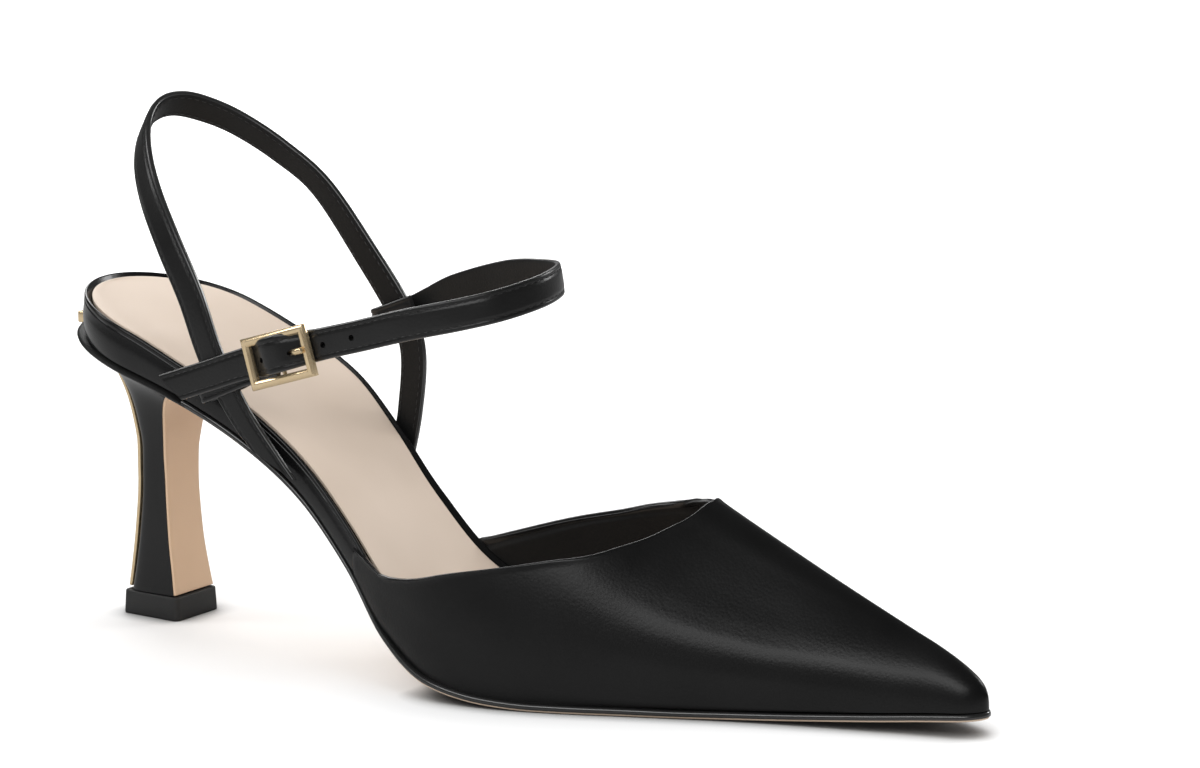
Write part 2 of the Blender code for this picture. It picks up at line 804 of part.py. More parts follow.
def build_prong():
    curve = spline([(along, lift, 0.0) for along, lift in PRONG], 3)
    loops = []
    last = len(curve) - 1
    for k, point in enumerate(curve):
        run = curve[min(k + 1, last)] - curve[max(k - 1, 0)]
        run.normalize()
        loop = []
        for step in range(10):
            a = radians(36 * step)
            along = point.x - run.y * PRONG_ROUND * cos(a)
            lift = point.y + run.x * PRONG_ROUND * cos(a)
            loop.append(buckle_point(along, lift, PRONG_ROUND * sin(a)))
        loops.append(loop)
    return loft("buckle_prong", loops, GOLD)


def clear_scene():
    for thing in list(bpy.data.objects):
        bpy.data.objects.remove(thing, do_unlink=True)


def centre_on_floor():
    """Put the middle of the shoe's box over the origin with the sole on z = 0."""
    shown = [t for t in bpy.data.objects if not t.hide_render]
    xs = [v.co.x for t in shown for v in t.data.vertices]
    ys = [v.co.y for t in shown for v in t.data.vertices]
    shift = Matrix.Translation((-(min(xs) + max(xs)) / 2, -(min(ys) + max(ys)) / 2, 0.0))
    for thing in bpy.data.objects:
        thing.data.transform(shift)
        thing.data.update()


clear_scene()
build_outsole()
build_footbed()
build_sock()
build_vamp()
build_heel()
build_breast_panel()
build_back_plate()
build_top_piece()
build_sling()
build_ankle_strap()
build_buckle_strap()
build_buckle_frame()
build_prong()
centre_on_floor()
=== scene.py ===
# %% [markdown]
# # A pointed slingback pump
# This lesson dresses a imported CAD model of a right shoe. The CAD solids are the fixed frame: they give every
# piece its place and its size. Each plain solid is then replaced by a finer piece in the same spot, and each
# piece gets a finish built from shader nodes. We start by loading the frame and keeping its box.

# %% Load the frame
from math import sin, cos, pi, exp, sqrt, radians, copysign
import bpy
import bmesh
from mathutils import Matrix, Vector


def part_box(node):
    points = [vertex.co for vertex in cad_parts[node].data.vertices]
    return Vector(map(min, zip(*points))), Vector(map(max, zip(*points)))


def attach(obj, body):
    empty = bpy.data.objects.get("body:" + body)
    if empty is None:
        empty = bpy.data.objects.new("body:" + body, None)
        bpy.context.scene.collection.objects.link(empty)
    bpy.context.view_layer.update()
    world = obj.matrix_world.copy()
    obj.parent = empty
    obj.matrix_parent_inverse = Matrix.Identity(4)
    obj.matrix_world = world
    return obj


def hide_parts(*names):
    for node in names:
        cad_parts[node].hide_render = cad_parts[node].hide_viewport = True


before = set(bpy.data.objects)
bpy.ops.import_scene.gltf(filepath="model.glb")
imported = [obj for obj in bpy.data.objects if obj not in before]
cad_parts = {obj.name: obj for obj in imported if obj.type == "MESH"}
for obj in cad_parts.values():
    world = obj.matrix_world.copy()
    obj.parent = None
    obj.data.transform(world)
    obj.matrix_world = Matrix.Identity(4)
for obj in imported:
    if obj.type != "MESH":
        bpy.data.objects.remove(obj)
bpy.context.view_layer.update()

# %% [markdown]
# ## Working in the shoemaker's own measures
# A shoemaker measures from the back of the heel along the floor, in millimetres, and so do the tables below.
# The CAD frame is in metres with its origin in the middle. The rubber top piece under the heel is easy to
# find in both, so its box gives the shift from one to the other. One matrix then moves every piece home.

# %% From the shoemaker's measures to the frame
TIP_BACK_X = 10.6
tip_low, tip_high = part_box("heel_top_piece")
shift = Vector((tip_low.x - TIP_BACK_X * 0.001, (tip_low.y + tip_high.y) / 2, 0.0))
TO_FRAME = Matrix.Translation(shift) @ Matrix.Scale(0.001, 4)
print("shift in mm", [round(c * 1000, 2) for c in shift])

# %% [markdown]
# ## Reading smooth curves from short tables
# A last, the form a shoe is built on, has no straight lines. Its curves are kept as short tables, and a cubic
# runs through the rows. Most curves must not swing past their rows, so their slopes are limited. An outline
# that catches long highlights does better with free slopes, so the reader can do both.

# %% A reader for tables
def clamp(value):
    return min(max(value, 0.0), 1.0)


def eased(value):
    """A soft start and a soft end between 0 and 1."""
    share = clamp(value)
    return share * share * (3 - 2 * share)


def slope_at(xs, ys, k, level):
    """Slope of a smooth curve at row k; a level curve never overshoots its rows."""
    if k in (0, len(xs) - 1):
        a = max(k - 1, 0)
        return (ys[a + 1] - ys[a]) / (xs[a + 1] - xs[a])
    before = (ys[k] - ys[k - 1]) / (xs[k] - xs[k - 1])
    after = (ys[k + 1] - ys[k]) / (xs[k + 1] - xs[k])
    if not level:
        return (before * (xs[k + 1] - xs[k]) + after * (xs[k] - xs[k - 1])) / (xs[k + 1] - xs[k - 1])
    if before * after <= 0:
        return 0.0
    w0 = 2 * (xs[k + 1] - xs[k]) + xs[k] - xs[k - 1]
    w1 = xs[k + 1] - xs[k] + 2 * (xs[k] - xs[k - 1])
    return (w0 + w1) / (w0 / before + w1 / after)


def read(table, column, x, level=True):
    """Value of a table column at x, on a smooth curve through its rows."""
    xs = [row[0] for row in table]
    ys = [row[column] for row in table]
    if x <= xs[0]:
        return ys[0]
    if x >= xs[-1]:
        return ys[-1]
    k = 0
    while x > xs[k + 1]:
        k += 1
    h = xs[k + 1] - xs[k]
    t = (x - xs[k]) / h
    m0 = slope_at(xs, ys, k, level) * h
    m1 = slope_at(xs, ys, k + 1, level) * h
    start = ys[k] * (1 + 2 * t) * (1 - t) ** 2 + m0 * t * (1 - t) ** 2
    return start + ys[k + 1] * t * t * (3 - 2 * t) + m1 * t * t * (t - 1)


print("halfway up a soft step", read([(0, 0.0), (1, 0.0), (2, 1.0), (3, 1.0)], 1, 1.5))

# %% [markdown]
# ## Turning a mesh into a piece
# Every piece ends the same way: its mesh is moved home, smoothed, given sharp edges where two faces meet at a
# steep angle, and told which body it rides on, which finish slot it takes and which plain solids it replaces.
# Most pieces begin the same way too, as a flat grid whose corners are moved onto a shape and then welded.

# %% Finish a piece
def new_object(name, bm, finishes=()):
    mesh = bpy.data.meshes.new(name)
    bm.to_mesh(mesh)
    bm.free()
    for finish in finishes:
        mesh.materials.append(finish)
    made = bpy.data.objects.new(name, mesh)
    bpy.context.scene.collection.objects.link(made)
    return made


def finish_piece(name, bm, finishes, stands_for=(), sharp=38):
    bmesh.ops.transform(bm, matrix=TO_FRAME, verts=bm.verts)
    for face in bm.faces:
        face.smooth = True
    for edge in bm.edges:
        if len(edge.link_faces) == 2 and edge.calc_face_angle() > radians(sharp):
            edge.smooth = False
    piece = new_object(name, bm, finishes)
    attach(piece, "root")
    if stands_for:
        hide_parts(*stands_for)
    print(name, len(piece.data.polygons), "faces")
    return piece


def warped_grid(bm, along, across, place, paint=None):
    """A grid of quads whose corners go to place(row, column); paint(row, column) picks a finish."""
    made = bmesh.ops.create_grid(bm, x_segments=along, y_segments=across, size=0.5)
    steps = {}
    for vert in made["verts"]:
        steps[vert] = (round((vert.co.x + 0.5) * along), round((vert.co.y + 0.5) * across))
    if paint:
        for face in {f for v in made["verts"] for f in v.link_faces}:
            row = min(steps[v][0] for v in face.verts)
            column = min(steps[v][1] for v in face.verts)
            face.material_index = paint(row, column)
    for vert, (row, column) in steps.items():
        vert.co = place(row, column)


def close_up(bm, weld=0.002):
    """Weld the seams, fill what is left open and turn the faces outwards."""
    bmesh.ops.remove_doubles(bm, verts=bm.verts, dist=weld)
    open_edges = [e for e in bm.edges if len(e.link_faces) == 1]
    if open_edges:
        bmesh.ops.holes_fill(bm, edges=open_edges, sides=0)
    bmesh.ops.recalc_face_normals(bm, faces=bm.faces)
    if bm.calc_volume(signed=True) < 0:
        bmesh.ops.reverse_faces(bm, faces=bm.faces)


# %% [markdown]
# ## Leather grain as a node group
# Calf leather shows tiny domed cells with fine pores between them, and its tone drifts a little from place to
# place. Voronoi cells give the domes and noise gives the drift. Several finishes need this, so it is built
# once as a node group with named sockets and placed in each material with its own cell size.

# %% Build the grain group
PORE_SCALE = 0.45
PORE_DEPTH = 0.9


def new_group(name, inputs, outputs):
    group = bpy.data.node_groups.new(name, "ShaderNodeTree")
    for label, kind, start in inputs:
        socket = group.interface.new_socket(label, in_out="INPUT", socket_type=kind)
        if start is not None:
            socket.default_value = start
    for label, kind in outputs:
        group.interface.new_socket(label, in_out="OUTPUT", socket_type=kind)
    source = group.nodes.new("NodeGroupInput")
    sink = group.nodes.new("NodeGroupOutput")
    return group, source, sink


def add_node(tree, kind, **values):
    """A shader node with some of its inputs set; an underscore stands for a space in an input's name."""
    node = tree.nodes.new("ShaderNode" + kind)
    for label, value in values.items():
        node.inputs[label.replace("_", " ")].default_value = value
    return node


def wire(tree, start, end):
    tree.links.new(start, end)


def math_node(tree, operation, first, second):
    node = add_node(tree, "Math")
    node.operation = operation
    for socket, value in zip(node.inputs, (first, second)):
        if isinstance(value, (int, float)):
            socket.default_value = value
        else:
            wire(tree, value, socket)
    return node.outputs[0]


grain_group, grain_in, grain_out = new_group(
    "leather_grain",
    [("Vector", "NodeSocketVector", None), ("Cells", "NodeSocketFloat", 1500.0),
     ("Drift", "NodeSocketFloat", 60.0)],
    [("Height", "NodeSocketFloat"), ("Tone", "NodeSocketFloat")])
cells = add_node(grain_group, "TexVoronoi")
cells.feature = "SMOOTH_F1"
cells.inputs["Smoothness"].default_value = 0.35
pores = add_node(grain_group, "TexNoise", Detail=3.0)
drift = add_node(grain_group, "TexNoise", Detail=2.0)
for texture in (cells, pores, drift):
    wire(grain_group, grain_in.outputs["Vector"], texture.inputs["Vector"])
wire(grain_group, grain_in.outputs["Cells"], cells.inputs["Scale"])
finer = math_node(grain_group, "MULTIPLY", grain_in.outputs["Cells"], PORE_SCALE)
wire(grain_group, finer, pores.inputs["Scale"])
wire(grain_group, grain_in.outputs["Drift"], drift.inputs["Scale"])
dome = math_node(grain_group, "SUBTRACT", 1.0, cells.outputs["Distance"])
pitted = math_node(grain_group, "MULTIPLY", pores.outputs["Fac"], PORE_DEPTH)
wire(grain_group, math_node(grain_group, "ADD", dome, pitted), grain_out.inputs["Height"])
wire(grain_group, drift.outputs["Fac"], grain_out.inputs["Tone"])
print("grain group", len(grain_group.nodes), "nodes")

# %% [markdown]
# ## Leather finishes
# A leather finish mixes two close tones by the drift and lets the grain bump the surface. Gloss that is the
# same all over is set on the shader's own sockets. One helper makes the black calf, the nude sock, the tan
# heel panel, the lining, the sole and the ink on its edge; only the numbers change.

# %% Make the leather finishes
GRAIN_DEPTH = 0.0002
COAT_ROUGH = 0.28
TONE_ENDS = (0.3, 0.7)


def new_finish(name):
    finish = bpy.data.materials.new(name)
    finish.use_nodes = True
    tree = finish.node_tree
    place = add_node(tree, "TexCoord")
    return finish, tree, tree.nodes["Principled BSDF"], place.outputs["Object"]


def two_tones(tree, shader, mask, dark, light, ends=(0.0, 1.0)):
    """A ramp from a dark tone to a light one, read by a mask."""
    tone = add_node(tree, "ValToRGB")
    for element, place, colour in zip(tone.color_ramp.elements, ends, (dark, light)):
        element.position = place
        element.color = (*colour, 1.0)
    wire(tree, mask, tone.inputs["Fac"])
    wire(tree, tone.outputs["Color"], shader.inputs["Base Color"])


def varied_gloss(tree, shader, mask, least, vary):
    gloss = math_node(tree, "MULTIPLY", mask, vary)
    wire(tree, math_node(tree, "ADD", gloss, least), shader.inputs["Roughness"])


def relief(tree, shader, height, strength, depth):
    bump = add_node(tree, "Bump", Strength=strength, Distance=depth)
    wire(tree, height, bump.inputs["Height"])
    wire(tree, bump.outputs["Normal"], shader.inputs["Normal"])


def leather(name, dark, light, rough, vary, cells_per_m, bump, specular, coat=0.0, drift_scale=60.0):
    finish, tree, shader, place = new_finish(name)
    grain = add_node(tree, "Group")
    grain.node_tree = grain_group
    grain.inputs["Cells"].default_value = cells_per_m
    grain.inputs["Drift"].default_value = drift_scale
    wire(tree, place, grain.inputs["Vector"])
    two_tones(tree, shader, grain.outputs["Tone"], dark, light, TONE_ENDS)
    varied_gloss(tree, shader, grain.outputs["Tone"], rough - vary / 2, vary)
    relief(tree, shader, grain.outputs["Height"], bump, GRAIN_DEPTH)
    shader.inputs["Specular IOR Level"].default_value = specular
    shader.inputs["Coat Weight"].default_value = coat
    shader.inputs["Coat Roughness"].default_value = COAT_ROUGH
    return finish


BLACK_CALF = leather("black_calf", (0.0030, 0.0030, 0.0031), (0.0046, 0.0046, 0.0047),
                     rough=0.34, vary=0.08, cells_per_m=1500, bump=0.09, specular=0.38)
BLACK_STRAP = leather("black_strap_calf", (0.0048, 0.0048, 0.0049), (0.0070, 0.0070, 0.0070),
                      rough=0.31, vary=0.10, cells_per_m=1700, bump=0.11, specular=0.48)
BLACK_WRAP = leather("black_wrap_calf", (0.0044, 0.0044, 0.0045), (0.0062, 0.0062, 0.0063),
                     rough=0.22, vary=0.06, cells_per_m=1700, bump=0.05, specular=0.45)
BLACK_LINING = leather("black_lining", (0.0075, 0.0075, 0.0074), (0.0110, 0.0110, 0.0108),
                       rough=0.50, vary=0.10, cells_per_m=1900, bump=0.16, specular=0.2)
NUDE_SOCK = leather("nude_sock", (0.59, 0.483, 0.392), (0.64, 0.53, 0.437),
                    rough=0.46, vary=0.10, cells_per_m=2200, bump=0.05, specular=0.4, drift_scale=35.0)
TAN_PANEL = leather("tan_panel", (0.58, 0.40, 0.265), (0.62, 0.435, 0.29),
                    rough=0.42, vary=0.08, cells_per_m=2400, bump=0.05, specular=0.4, drift_scale=30.0)
SOLE_LEATHER = leather("sole_leather", (0.52, 0.40, 0.30), (0.60, 0.48, 0.37),
                       rough=0.62, vary=0.10, cells_per_m=1200, bump=0.12, specular=0.3)
EDGE_INK = leather("edge_ink", (0.010, 0.010, 0.010), (0.014, 0.014, 0.014),
                   rough=0.20, vary=0.06, cells_per_m=900, bump=0.04, specular=0.8, coat=0.9)
print("the last leather finish is", EDGE_INK.name)

# %% [markdown]
# ## Metal, rubber and thread
# The buckle and the heel's back plate are plated in pale gold. Plating is smooth, with hair-fine polishing
# marks that change the gloss more than the shape, so noise stretched by a Mapping node drives the roughness.
# Rubber and thread are duller, with a fine speckle in tone, gloss and height.

# %% Make the other finishes
POLISH_SCALE = (300.0, 2400.0, 900.0)
SPECK_DEPTH = 0.0001


def plated_gold(name):
    finish, tree, shader, place = new_finish(name)
    stretch = add_node(tree, "Mapping", Scale=POLISH_SCALE)
    marks = add_node(tree, "TexNoise", Scale=1.0, Detail=3.0)
    wire(tree, place, stretch.inputs["Vector"])
    wire(tree, stretch.outputs["Vector"], marks.inputs["Vector"])
    varied_gloss(tree, shader, marks.outputs["Fac"], least=0.13, vary=0.14)
    two_tones(tree, shader, marks.outputs["Fac"], (0.86, 0.65, 0.38), (0.96, 0.77, 0.50))
    shader.inputs["Metallic"].default_value = 0.85
    return finish


def speckled(name, dark, light, rough, scale, bump):
    finish, tree, shader, place = new_finish(name)
    speck = add_node(tree, "TexNoise", Scale=scale, Detail=4.0)
    wire(tree, place, speck.inputs["Vector"])
    two_tones(tree, shader, speck.outputs["Fac"], dark, light)
    varied_gloss(tree, shader, speck.outputs["Fac"], rough, vary=0.15)
    relief(tree, shader, speck.outputs["Fac"], bump, SPECK_DEPTH)
    return finish


PALE_GOLD = plated_gold("pale_gold")
BLACK_RUBBER = speckled("black_rubber", (0.014, 0.014, 0.014), (0.024, 0.024, 0.024),
                        rough=0.48, scale=1600, bump=0.2)
BLACK_THREAD = speckled("black_thread", (0.007, 0.007, 0.007), (0.018, 0.018, 0.018),
                        rough=0.42, scale=4000, bump=0.3)
print("also", PALE_GOLD.name, BLACK_RUBBER.name, BLACK_THREAD.name)

# %% [markdown]
# ## The bottom outline
# Sole, footbed and sock all follow one outline, seen from above: round at the heel, narrow at the waist, wide
# at the ball and drawn out to a point. One table gives its middle and half width, another the heights along
# the shoe. Points are found by station, so the round heel and the rounded tip get their own fine steps.

# %% Outline and heights
# columns: x, middle of the outline in y, half width
OUTLINE = [
    (28, -0.5, 26.0), (45, 0.3, 26.0), (60, 0.3, 24.2), (75, -1.4, 21.4), (90, -4.8, 20.6),
    (105, -7.2, 24.2), (120, -5.6, 30.0), (135, -1.2, 33.5), (150, 3.2, 33.5), (165, 6.2, 30.2),
    (190, 7.2, 21.2), (215, 5.7, 11.9), (232, 4.3, 5.9), (240, 3.6, 3.9),
]
# columns: x, underside of the sole, top rim of the footbed, dish of the footbed
HEIGHTS = [
    (0, 70.8, 83.0, 1.8), (28, 62.8, 74.2, 1.8), (45, 56.8, 66.6, 1.5), (60, 49.0, 59.2, 1.2),
    (75, 38.2, 48.4, 1.0), (90, 24.4, 35.2, 0.8), (105, 10.5, 21.6, 0.6), (120, 3.0, 12.0, 0.4),
    (135, 0.5, 7.6, 0.3), (146, 0.0, 5.8, 0.3), (172, 0.0, 5.4, 0.3), (190, 0.4, 5.7, 0.2),
    (215, 1.8, 7.1, 0.2), (232, 3.2, 8.5, 0.2), (242, 4.0, 9.3, 0.2),
]
HEEL_DEPTH = 28.0
HEEL_BACK_IN = 2.8
BREAST_X = 44.2
TOE_X = 239.4
TOE_ROUND = 6.0
TOE_RUN = 13.0
SOLE_THICK = 1.8
GAP = 0.3
LEAST_HALF = 0.3
HEEL_STEPS = 22
BODY_STEPS = 100
TOE_STEPS = 10
BALL_X = 142


def middle(x):
    return read(OUTLINE, 1, x, False)


def half_wide(x):
    return read(OUTLINE, 2, x, False)


def inset_half(x, inset):
    """Half width after moving the edge inwards at right angles to itself."""
    taper = half_wide(x + 0.5) - half_wide(x - 0.5) if x > HEEL_DEPTH else 0.0
    return max(half_wide(x) - inset * sqrt(1 + taper * taper), LEAST_HALF)


def toe_half(x, inset, toe_x):
    """Half width with the tip rounded off over its last few millimetres."""
    part = clamp((x - toe_x + TOE_ROUND) / TOE_ROUND)
    return inset_half(x, inset) * sqrt(1 - part * part)


def edge_point(station, side, inset, toe_x):
    """A plan point on the outline moved inwards; side is -1 outer, 1 inner."""
    kind, value = station
    if kind == "heel":
        x = HEEL_DEPTH - (HEEL_DEPTH - HEEL_BACK_IN - inset) * cos(radians(value))
        return x, middle(x) + side * (half_wide(HEEL_DEPTH) - inset) * sin(radians(value))
    end = toe_x - inset
    x = end - TOE_ROUND * (1 - sin(radians(value))) if kind == "toe" else value
    return x, middle(x) + side * toe_half(x, inset, end)


def spread(start, end, count):
    return [start + (end - start) * k / count for k in range(count)]


def stations(from_heel, toe_x):
    """Fine stations from the heel, or from the breast of the heel, to the tip."""
    found = [("heel", a) for a in spread(0, 90, HEEL_STEPS)] if from_heel else []
    start = HEEL_DEPTH if from_heel else BREAST_X
    found += [("body", x) for x in spread(start, toe_x - TOE_RUN, BODY_STEPS)]
    return found + [("toe", a) for a in spread(0, 90, TOE_STEPS)] + [("toe", 90)]


def sole_z(x):
    return read(HEIGHTS, 1, x)


def rim_z(x):
    return read(HEIGHTS, 2, x)


def bed_under(x):
    return sole_z(x) + SOLE_THICK + GAP


print("half width at the ball", round(half_wide(BALL_X), 1), "mm")

# %% [markdown]
# ## Boards that follow the outline
# A board is a closed section carried along the stations: up one edge, across the top, down the other edge and
# back underneath. A grid makes the quads, one column of corners for each point of the section, and its seam
# is welded afterwards. At the heel and the tip the section shrinks to a line, so the ends close by welding.

# %% A board maker
FLAT_STEPS = 6
THIN = 0.002


def board(name, stops, edge_rows, flats, toe_x, finishes, stands_for, face_finish=None):
    """edge_rows(x, side) gives (inset, height function) from the bottom up; flats(x, part, top) the rest."""
    parts = [k / FLAT_STEPS for k in range(1 - FLAT_STEPS, FLAT_STEPS)]
    rings = []
    for stop in stops:
        sides = []
        for side in (-1, 1):
            run = []
            for inset, height in edge_rows(edge_point(stop, side, 0.0, toe_x)[0], side):
                x, y = edge_point(stop, side, inset, toe_x)
                run.append(Vector((x, y, height(x))))
            sides.append(run)
        outer, inner = sides
        thin = (inner[-1] - outer[-1]).length < THIN
        top = []
        under = []
        for part in parts:
            share = (part + 1) / 2
            high = outer[-1].lerp(inner[-1], share)
            low = outer[0].lerp(inner[0], share)
            top.append(high if thin else Vector((high.x, high.y, flats(high.x, part, True))))
            under.append(low if thin else Vector((low.x, low.y, flats(low.x, part, False))))
        rings.append(outer + top + inner[::-1] + under[::-1])
    count = len(rings[0])
    bm = bmesh.new()
    warped_grid(bm, len(rings) - 1, count, lambda i, j: rings[i][j % count])
    if face_finish:
        for face in bm.faces:
            face.material_index = face_finish(face)
    close_up(bm)
    finish_piece(name, bm, finishes, stands_for)


# %% [markdown]
# ## Outsole
# The outsole is a thin leather sheet. Its edge is inked black and shines along the top, and a narrow line of
# bare leather shows at the bottom. It is tucked in along the waist and stands out as a narrow edge round the
# vamp. The section's rows give that edge its rounded top and its small step.

# %% Make the outsole
SOLE_EDGE_OUT = 0.45
SOLE_WAIST_IN = 0.25
SOLE_OUT_FROM = 95
SOLE_OUT_RUN = 17
INK_WAIST_X = 112
INK_WAIST_WIDE = 2.5
INK_FROM = 0.52
# columns: inset, height above the tread
SOLE_EDGE = [
    (1.4, 0.0), (0.75, 0.02), (0.45, 0.12), (0.3, 0.3), (0.28, 0.5), (0.08, 0.56), (0.0, 0.7),
    (0.0, 1.0), (0.06, 1.3), (0.2, 1.56), (0.4, 1.72), (0.7, 1.8),
]


def sole_rows(x, side):
    out = eased((x - SOLE_OUT_FROM) / SOLE_OUT_RUN)
    base = SOLE_WAIST_IN - (SOLE_WAIST_IN + SOLE_EDGE_OUT) * out
    return [(base + inset, lambda at, up=up: sole_z(at) + up) for inset, up in SOLE_EDGE]


def sole_flats(x, part, top):
    return sole_z(x) + (SOLE_THICK if top else 0.0)


def inked(face):
    """Bare leather on the tread and the lowest line of the edge, ink above and along the waist's edge."""
    spot = face.calc_center_median()
    to_edge = inset_half(spot.x, 0.0) - abs(spot.y - middle(spot.x))
    if spot.x < INK_WAIST_X and to_edge < INK_WAIST_WIDE:
        return 1
    return 0 if spot.z - sole_z(spot.x) < INK_FROM else 1


board("outsole_dressed", stations(False, TOE_X), sole_rows, sole_flats, TOE_X,
      [SOLE_LEATHER, EDGE_INK], ["outsole"], inked)

# %% [markdown]
# ## Footbed
# The footbed is a board wrapped in black calf. Its side is full and round, and the wrapped leather stands up
# as a soft bead round a shallow recess. Where the board runs under the vamp it steps in. The bead is the
# bright line that follows the whole rim, so its top is drawn with many rows.

# %% Make the footbed
# columns: inset from the outline, part of the thickness from below, drop in millimetres
RIM = [
    (2.6, 0.0, 0.0), (1.4, 0.0, 0.0), (0.6, 0.02, 0.0), (0.36, 0.1, 0.0), (0.18, 0.2, 0.0),
    (0.07, 0.3, 0.0), (0.0, 0.42, 0.0), (0.04, 0.53, 0.0), (0.13, 0.62, 0.0), (0.26, 0.7, 0.0),
    (0.33, 1.0, 1.85), (0.36, 1.0, 1.5), (0.48, 1.0, 1.32), (0.44, 1.0, 1.1), (0.42, 1.0, 0.6),
    (0.52, 1.0, 0.25), (0.7, 1.0, 0.06), (0.93, 1.0, 0.0), (1.15, 1.0, 0.07), (1.4, 1.0, 0.3),
    (1.8, 1.0, 0.75), (2.25, 1.0, 1.15), (2.7, 1.0, 1.5),
]
RIM_TOP_IN = 0.93
RECESS = 1.9
RECESS_IN = 2.8
VAMP_STEP = 1.9
VAMP_STEP_FROM = 88
VAMP_STEP_RUN = 26
DISH_FROM = 3
DISH_RUN = 24
NARROW = 0.5
# where the rim starts to widen and over what length, for the outer and the inner side
WIDENS = {-1: (2, 18), 1: (62, 30)}
BED_TOE_X = 228.0


def vamp_step(x):
    return VAMP_STEP * eased((x - VAMP_STEP_FROM) / VAMP_STEP_RUN)


def bed_top(x, part):
    back = clamp((x - DISH_FROM) / DISH_RUN)
    return rim_z(x) - RECESS - read(HEIGHTS, 3, x) * (1 - part * part) * back


def past_bead(inset, x, side):
    """An inset beyond the bead's top, drawn together round the back and along the inner side."""
    start, run = WIDENS[side]
    return RIM_TOP_IN + (inset - RIM_TOP_IN) * (NARROW + (1 - NARROW) * clamp((x - start) / run))


def bed_rows(x, side):
    step = vamp_step(x)
    rows = []
    for inset, part, drop in RIM:
        beyond = inset > RIM_TOP_IN and drop > 0
        rows.append(((past_bead(inset, x, side) if beyond else inset) + step,
                     lambda at, part=part, drop=drop:
                     bed_under(at) + (rim_z(at) - bed_under(at)) * part - drop))
    return rows + [(past_bead(RECESS_IN, x, side) + step, lambda at: bed_top(at, 1.0))]


def bed_flats(x, part, top):
    return bed_top(x, part) if top else bed_under(x)


board("footbed_dressed", stations(True, BED_TOE_X), bed_rows, bed_flats, BED_TOE_X,
      [BLACK_WRAP], ["footbed"])

# %% [markdown]
# ## Insole sock
# The sock is a thin sheet of smooth nude leather glued into the recess. Its cut edge is slightly rounded, and
# it follows the dish of the footbed, so it is the same kind of board with a thinner section. It stays plain.

# %% Make the sock
SOCK_IN = 2.9
SOCK_LOW = 0.3
SOCK_HIGH = 1.4
# columns: inset, height above the recess
SOCK_EDGE = [(0.3, 0.3), (0.02, 0.42), (0.0, 1.05), (0.08, 1.26), (0.3, 1.37), (0.7, 1.4)]


def sock_rows(x, side):
    base = past_bead(SOCK_IN, x, side) + vamp_step(x)
    return [(base + inset, lambda at, up=up: bed_top(at, 1.0) + up) for inset, up in SOCK_EDGE]


def sock_flats(x, part, top):
    return bed_top(x, part) + (SOCK_HIGH if top else SOCK_LOW)


board("sock_dressed", stations(True, BED_TOE_X), sock_rows, sock_flats, BED_TOE_X,
      [NUDE_SOCK], ["insole_sock"])

# %% [markdown]
# ## The vamp's shape
# The vamp is the leather that covers the toes: round and full at the ball, then with a firm shoulder and a
# sloping top that run out to the point. A table says how firm the shoulder is along the shoe, so the long
# highlight bends softly. Near the throat the leather folds over, with a small bead along the fold.

# %% Shape of the vamp
WALL = 1.6
RIDGE_Y = 3.6
CREST_RUN = 75
FOOT_LOW = 0.3
LINING_LOW = 1.3
LINING_AHEAD = 0.7
LINING_TOE_IN = 2.2
LINING_STEP = 0.4
LINING_STEP_AT = 2.6
LINING_STEP_RUN = 0.3
BEAD_HIGH = 0.18
BEAD_AT = 0.8
BEAD_WIDE = 1.1
# columns: x, height of the ridge line, squareness of the section
RIDGE = [
    (96, 80.0, 2.3), (120, 69.0, 2.3), (140, 59.6, 2.2), (160, 49.8, 2.0), (172, 43.9, 1.9),
    (186, 36.9, 1.85), (202, 29.0, 1.85), (219, 21.4, 1.9), (228, 17.6, 1.95), (234.4, 14.2, 2.0),
    (238, 11.4, 2.1), (239.4, 9.0, 2.2),
]
# columns: angle up the side in degrees, outer-side x of the throat line, inner-side x
TOPLINE = [
    (0, 92.8, 97.0), (5.6, 93.4, 99.6), (8.0, 101.5, 102.3), (12, 109.3, 107.3), (18, 119.5, 115.5),
    (30, 140.0, 135.0), (42, 152.0, 147.5), (54, 158.5, 154.5), (68, 164.8, 161.5), (80, 169.2, 168.0),
    (90, 170.6, 170.6),
]
# columns: x, how firm the shoulder is
FIRM = [
    (95, 0.0), (134, 0.0), (146, 0.12), (152, 0.28), (158, 0.5), (164, 0.72), (172, 0.9), (182, 1.0),
    (190, 1.0), (200, 0.8), (210, 0.6), (220, 0.42), (230, 0.2), (239.4, 0.1),
]
# columns: step up the side, way in from the foot to the crest, way up
SHOULDER = [
    (0.0, 0.002, 0.0), (0.1, 0.0, 0.1), (0.2, 0.004, 0.21), (0.3, 0.04, 0.33), (0.4, 0.11, 0.43),
    (0.5, 0.215, 0.52), (0.65, 0.42, 0.67), (0.8, 0.66, 0.84), (0.9, 0.82, 0.945), (0.96, 0.92, 0.985),
    (1.0, 1.0, 1.0),
]


def vamp_section(x, angle):
    """Way in and way up: round and full at the ball, with a shoulder and a sloping top towards the toe."""
    power = 2 / read(RIDGE, 2, x)
    full = (1 - max(cos(radians(angle)), 0.0) ** power, sin(radians(angle)) ** power)
    share = read(FIRM, 1, x)
    return [a + (read(SHOULDER, k, angle / 90) - a) * share for k, a in zip((1, 2), full)]


